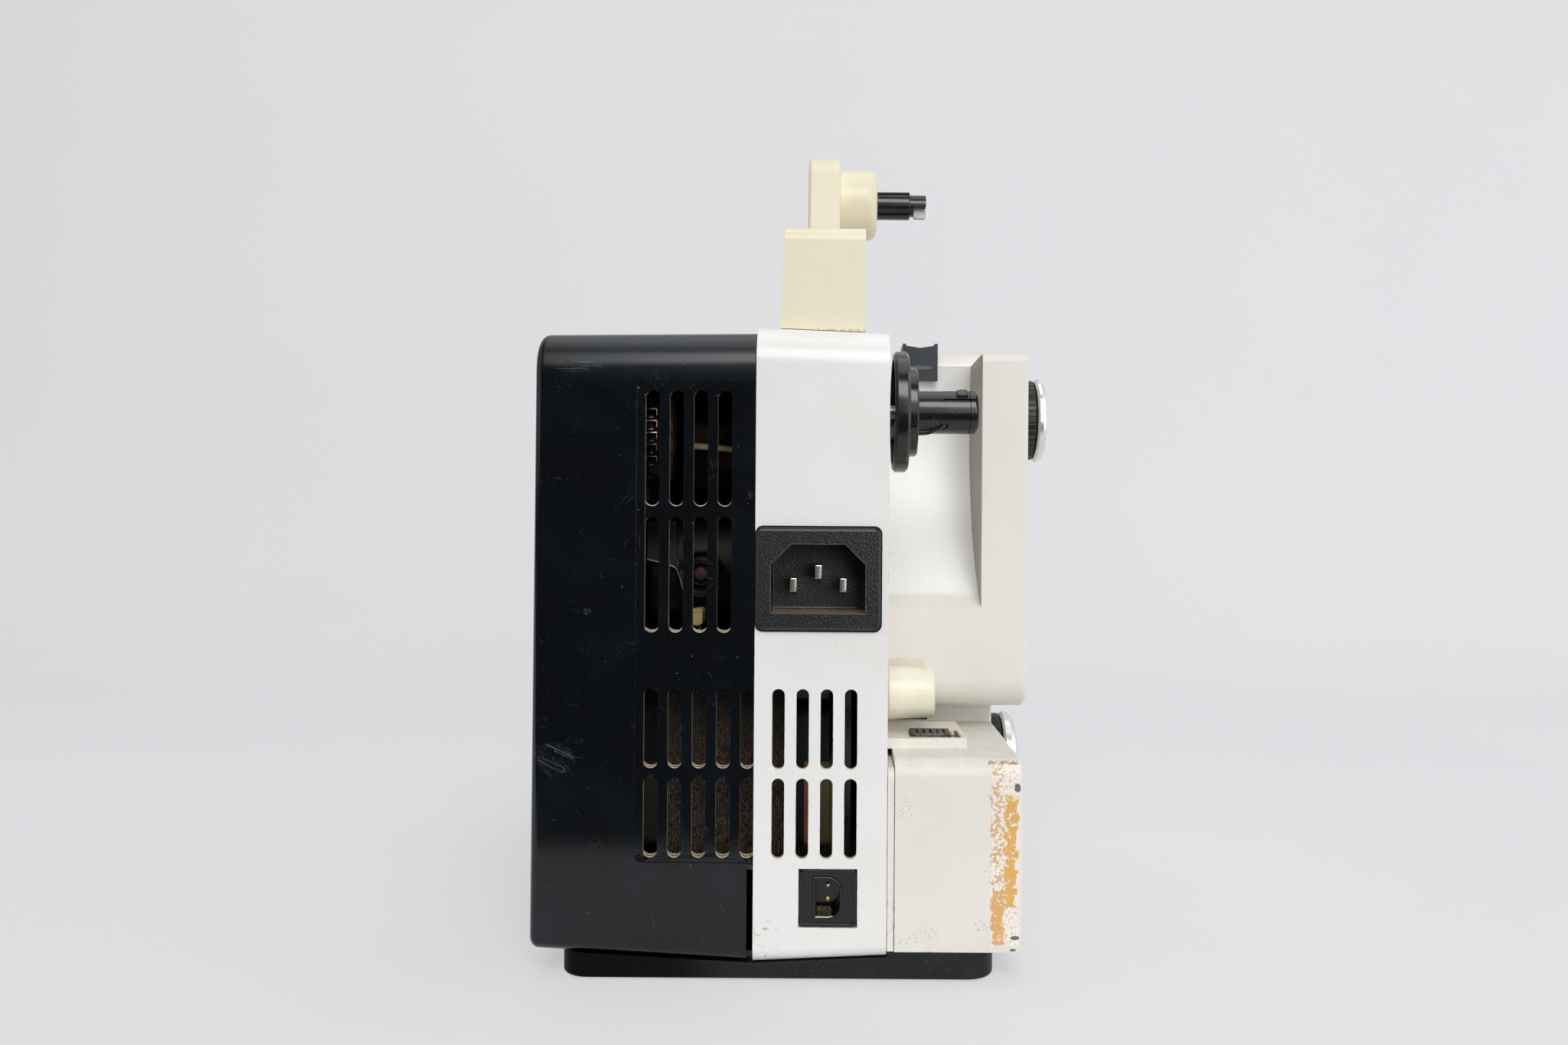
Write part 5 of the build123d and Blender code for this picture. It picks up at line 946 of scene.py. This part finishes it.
# Rust runs along the strip's upper end, chips show bare steel, and rust creeps in at the switch's corner.
rust_line = paint.both(
    rear_face, paint.strip(2, 60.8, 61.7, 0.25), paint.strip(0, edge - 9.5, edge - 1.2, 0.5),
)
paint.mottle("#a5714a", 0.85, 1.5, 0.38, 0.5, where=rust_line)
chips = ((edge - 1.5, 54.5, 0.9, 1.3), (edge - 2.0, 12.6, 1.3, 0.6), (edge - 2.6, 9.2, 0.9, 0.4))
for x, z, half_x, half_z in chips:
    paint.tint(paint.patch(x, z, half_x, half_z, 0.4, 1.0), "#4b4d50", 0.9)
paint.mottle("#7a5a40", 0.85, 2.2, 0.55, 0.66, 4, where=paint.edges(0.8))
switch_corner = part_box("slide_switch")[1] / MM
rusty_corner = paint.block(
    (switch_corner.x - 1.0, switch_corner.x + 3.2, 0.4), (switch_corner.y - 12, switch_corner.y + 1.5, 0.5),
    (switch_corner.z - 4, switch_corner.z - 0.5, 0.3),
)
paint.mottle("#8e5230", 0.9, 1.0, 0.45, 0.58, 4, where=rusty_corner)
dress(paint, 0.35, "control_housing", "box_plate", "switch_plate")

switch = Finish("switch_black", "#0d0e0f", 0.2, shine=0.5).grain(0.4, 0.02, 0.5)
switch.mottle("#6a5c50", 0.7, 0.7, 0.4, 0.6, 4, where=switch.facing(1, -0.3, -0.7))
dress(switch, 0.15, "slide_switch", "switch_body", "rotary_switch")


# KNOBS
# Two round knobs stand on the film side: black fluted skirts with spun aluminium caps pressed on.
skirts = Finish("knob_black", "#141516", 0.34, shine=0.45).grain(0.4, 0.02, 0.4)
skirts.wear_and_highlight_edges("#3e3e3f", 0.5, 0.3)
dress(skirts, 0.1, "inching_knob", "control_knob")


def spun_cap(node, centre_y, centre_z):
    """Aluminium cap spun to shape: fine rings round its axle catch the light."""
    spun = Finish(node + "_spun", "#e8e8e5", 0.28, Metallic=1.0)
    ring_bands, ring_waver = 900.0, 0.6
    rings = spun.add("ShaderNodeTexWave", wave_type="RINGS", rings_direction="X")
    spun.feed(rings.inputs["Vector"], spun.stretched((1, 1, 1), (0, -centre_y, -centre_z)))
    rings.inputs["Scale"].default_value = ring_bands
    rings.inputs["Distortion"].default_value = ring_waver
    spun.relief(rings.outputs["Fac"], 0.01, 0.5).mottle("#96948c", 0.5, 1.5, 0.55, 0.75, 4)
    dress(spun, 0.15, node)


for node in ("inching_knob_cap", "control_knob_cap"):
    low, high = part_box(node)
    spun_cap(node, (low.y + high.y) / 2, (low.z + high.z) / 2)


# STUDIO
# A seamless sweep of pale paper is lit by five soft boxes: two behind the camera, one on each side and one
# above. The camera stands level on a tripod behind the machine's rear.
paper = Finish("paper", "#e4e4e6", 0.9, shine=0.0).mottle("#dfdee2", 0.6, 160, 0.3, 0.8, 4)

# To the camera, and in gloss and glass, the paper shows partly as an even pale ground.
pale_share = 0.62
seen = paper.add("ShaderNodeLightPath").outputs
direct = paper.sum("MAXIMUM", seen["Is Camera Ray"], seen["Is Glossy Ray"])
direct = paper.sum("MAXIMUM", direct, seen["Is Transmission Ray"])
pale = paper.add("ShaderNodeEmission")
pale.inputs["Color"].default_value = paper.flat("#e6e6e9")
blend = paper.add("ShaderNodeMixShader")
paper.feed(blend.inputs[0], paper.both(direct, pale_share))
paper.feed(blend.inputs[1], paper.shader.outputs[0])
paper.feed(blend.inputs[2], pale.outputs[0])
paper.feed(paper.tree.nodes["Material Output"].inputs["Surface"], blend.outputs[0])

# The sweep, in metres: a floor under the machine, a round bend and an upright wall.
floor_z, floor_near, floor_far = cad_low.z, -0.255, 0.45
bend_radius, bend_steps = 0.25, 14
wall_top, half_wide = 2.2, 2.5
sweep = bmesh.new()
line = [(floor_near, 0.0), (floor_far, 0.0)]
for k in range(1, bend_steps + 1):
    turn = math.radians(90) * k / bend_steps
    line.append((floor_far + bend_radius * math.sin(turn), bend_radius * (1 - math.cos(turn))))
line.append((floor_far + bend_radius, wall_top))
rows = [[sweep.verts.new((x, y, floor_z + z)) for x in (-half_wide, half_wide)] for y, z in line]
for near, far in zip(rows, rows[1:]):
    sweep.faces.new((near[0], near[1], far[1], far[0]))
mesh = bpy.data.meshes.new("backdrop")
sweep.to_mesh(mesh)
sweep.free()
mesh.shade_smooth()
backdrop = bpy.data.objects.new("backdrop", mesh)
scene.collection.objects.link(backdrop)
mesh.materials.append(paper.done())
backdrop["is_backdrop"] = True


def soft_box(name, place, aim, side, power):
    """Square soft box at place, turned to aim."""
    light = bpy.data.lights.new(name, "AREA")
    light.shape = "SQUARE"
    light.size = side
    light.energy = power
    lamp = bpy.data.objects.new(name, light)
    lamp.location = place
    lamp.rotation_mode = "QUATERNION"
    lamp.rotation_quaternion = (Vector(aim) - Vector(place)).to_track_quat("-Z", "Y")
    scene.collection.objects.link(lamp)


middle = (0, 0, 0.12)
soft_box("front_box", (0.10, -1.35, 1.20), middle, 0.8, 14.0)
soft_box("key_box", (0.62, -1.40, 0.42), middle, 0.9, 8.6)
soft_box("left_box", (-1.10, -0.45, 0.60), middle, 0.9, 1.6)
soft_box("right_box", (1.10, 0.05, 0.45), middle, 0.9, 3.0)
soft_box("top_box", (0, 0.05, 1.5), (0, 0.05, 0.1), 1.1, 5.2)

room_colour, room_light = (0.9, 0.93, 1.0, 1.0), 0.11
world = bpy.data.worlds.new("room")
world.use_nodes = True
room = world.node_tree.nodes["Background"].inputs
room["Color"].default_value = room_colour
room["Strength"].default_value = room_light
scene.world = world

# The camera's place follows from the sizes of like edges near and far in the photo.
eye_place, roll = (body_low.x + 0.0210, -0.4622, 0.1284), 0.4
camera = bpy.data.cameras.new("camera")
camera.lens = 28.83
camera.sensor_width = 36.0
camera.shift_x = -0.0298
camera.clip_start = 0.01
eye = bpy.data.objects.new("camera", camera)
level = Matrix.Rotation(math.radians(90), 4, "X")
eye.matrix_world = Matrix.Translation(eye_place) @ (level @ Matrix.Rotation(math.radians(roll), 4, "Z"))
scene.collection.objects.link(eye)
scene.camera = eye
scene.view_settings.view_transform = "Standard"

low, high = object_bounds()
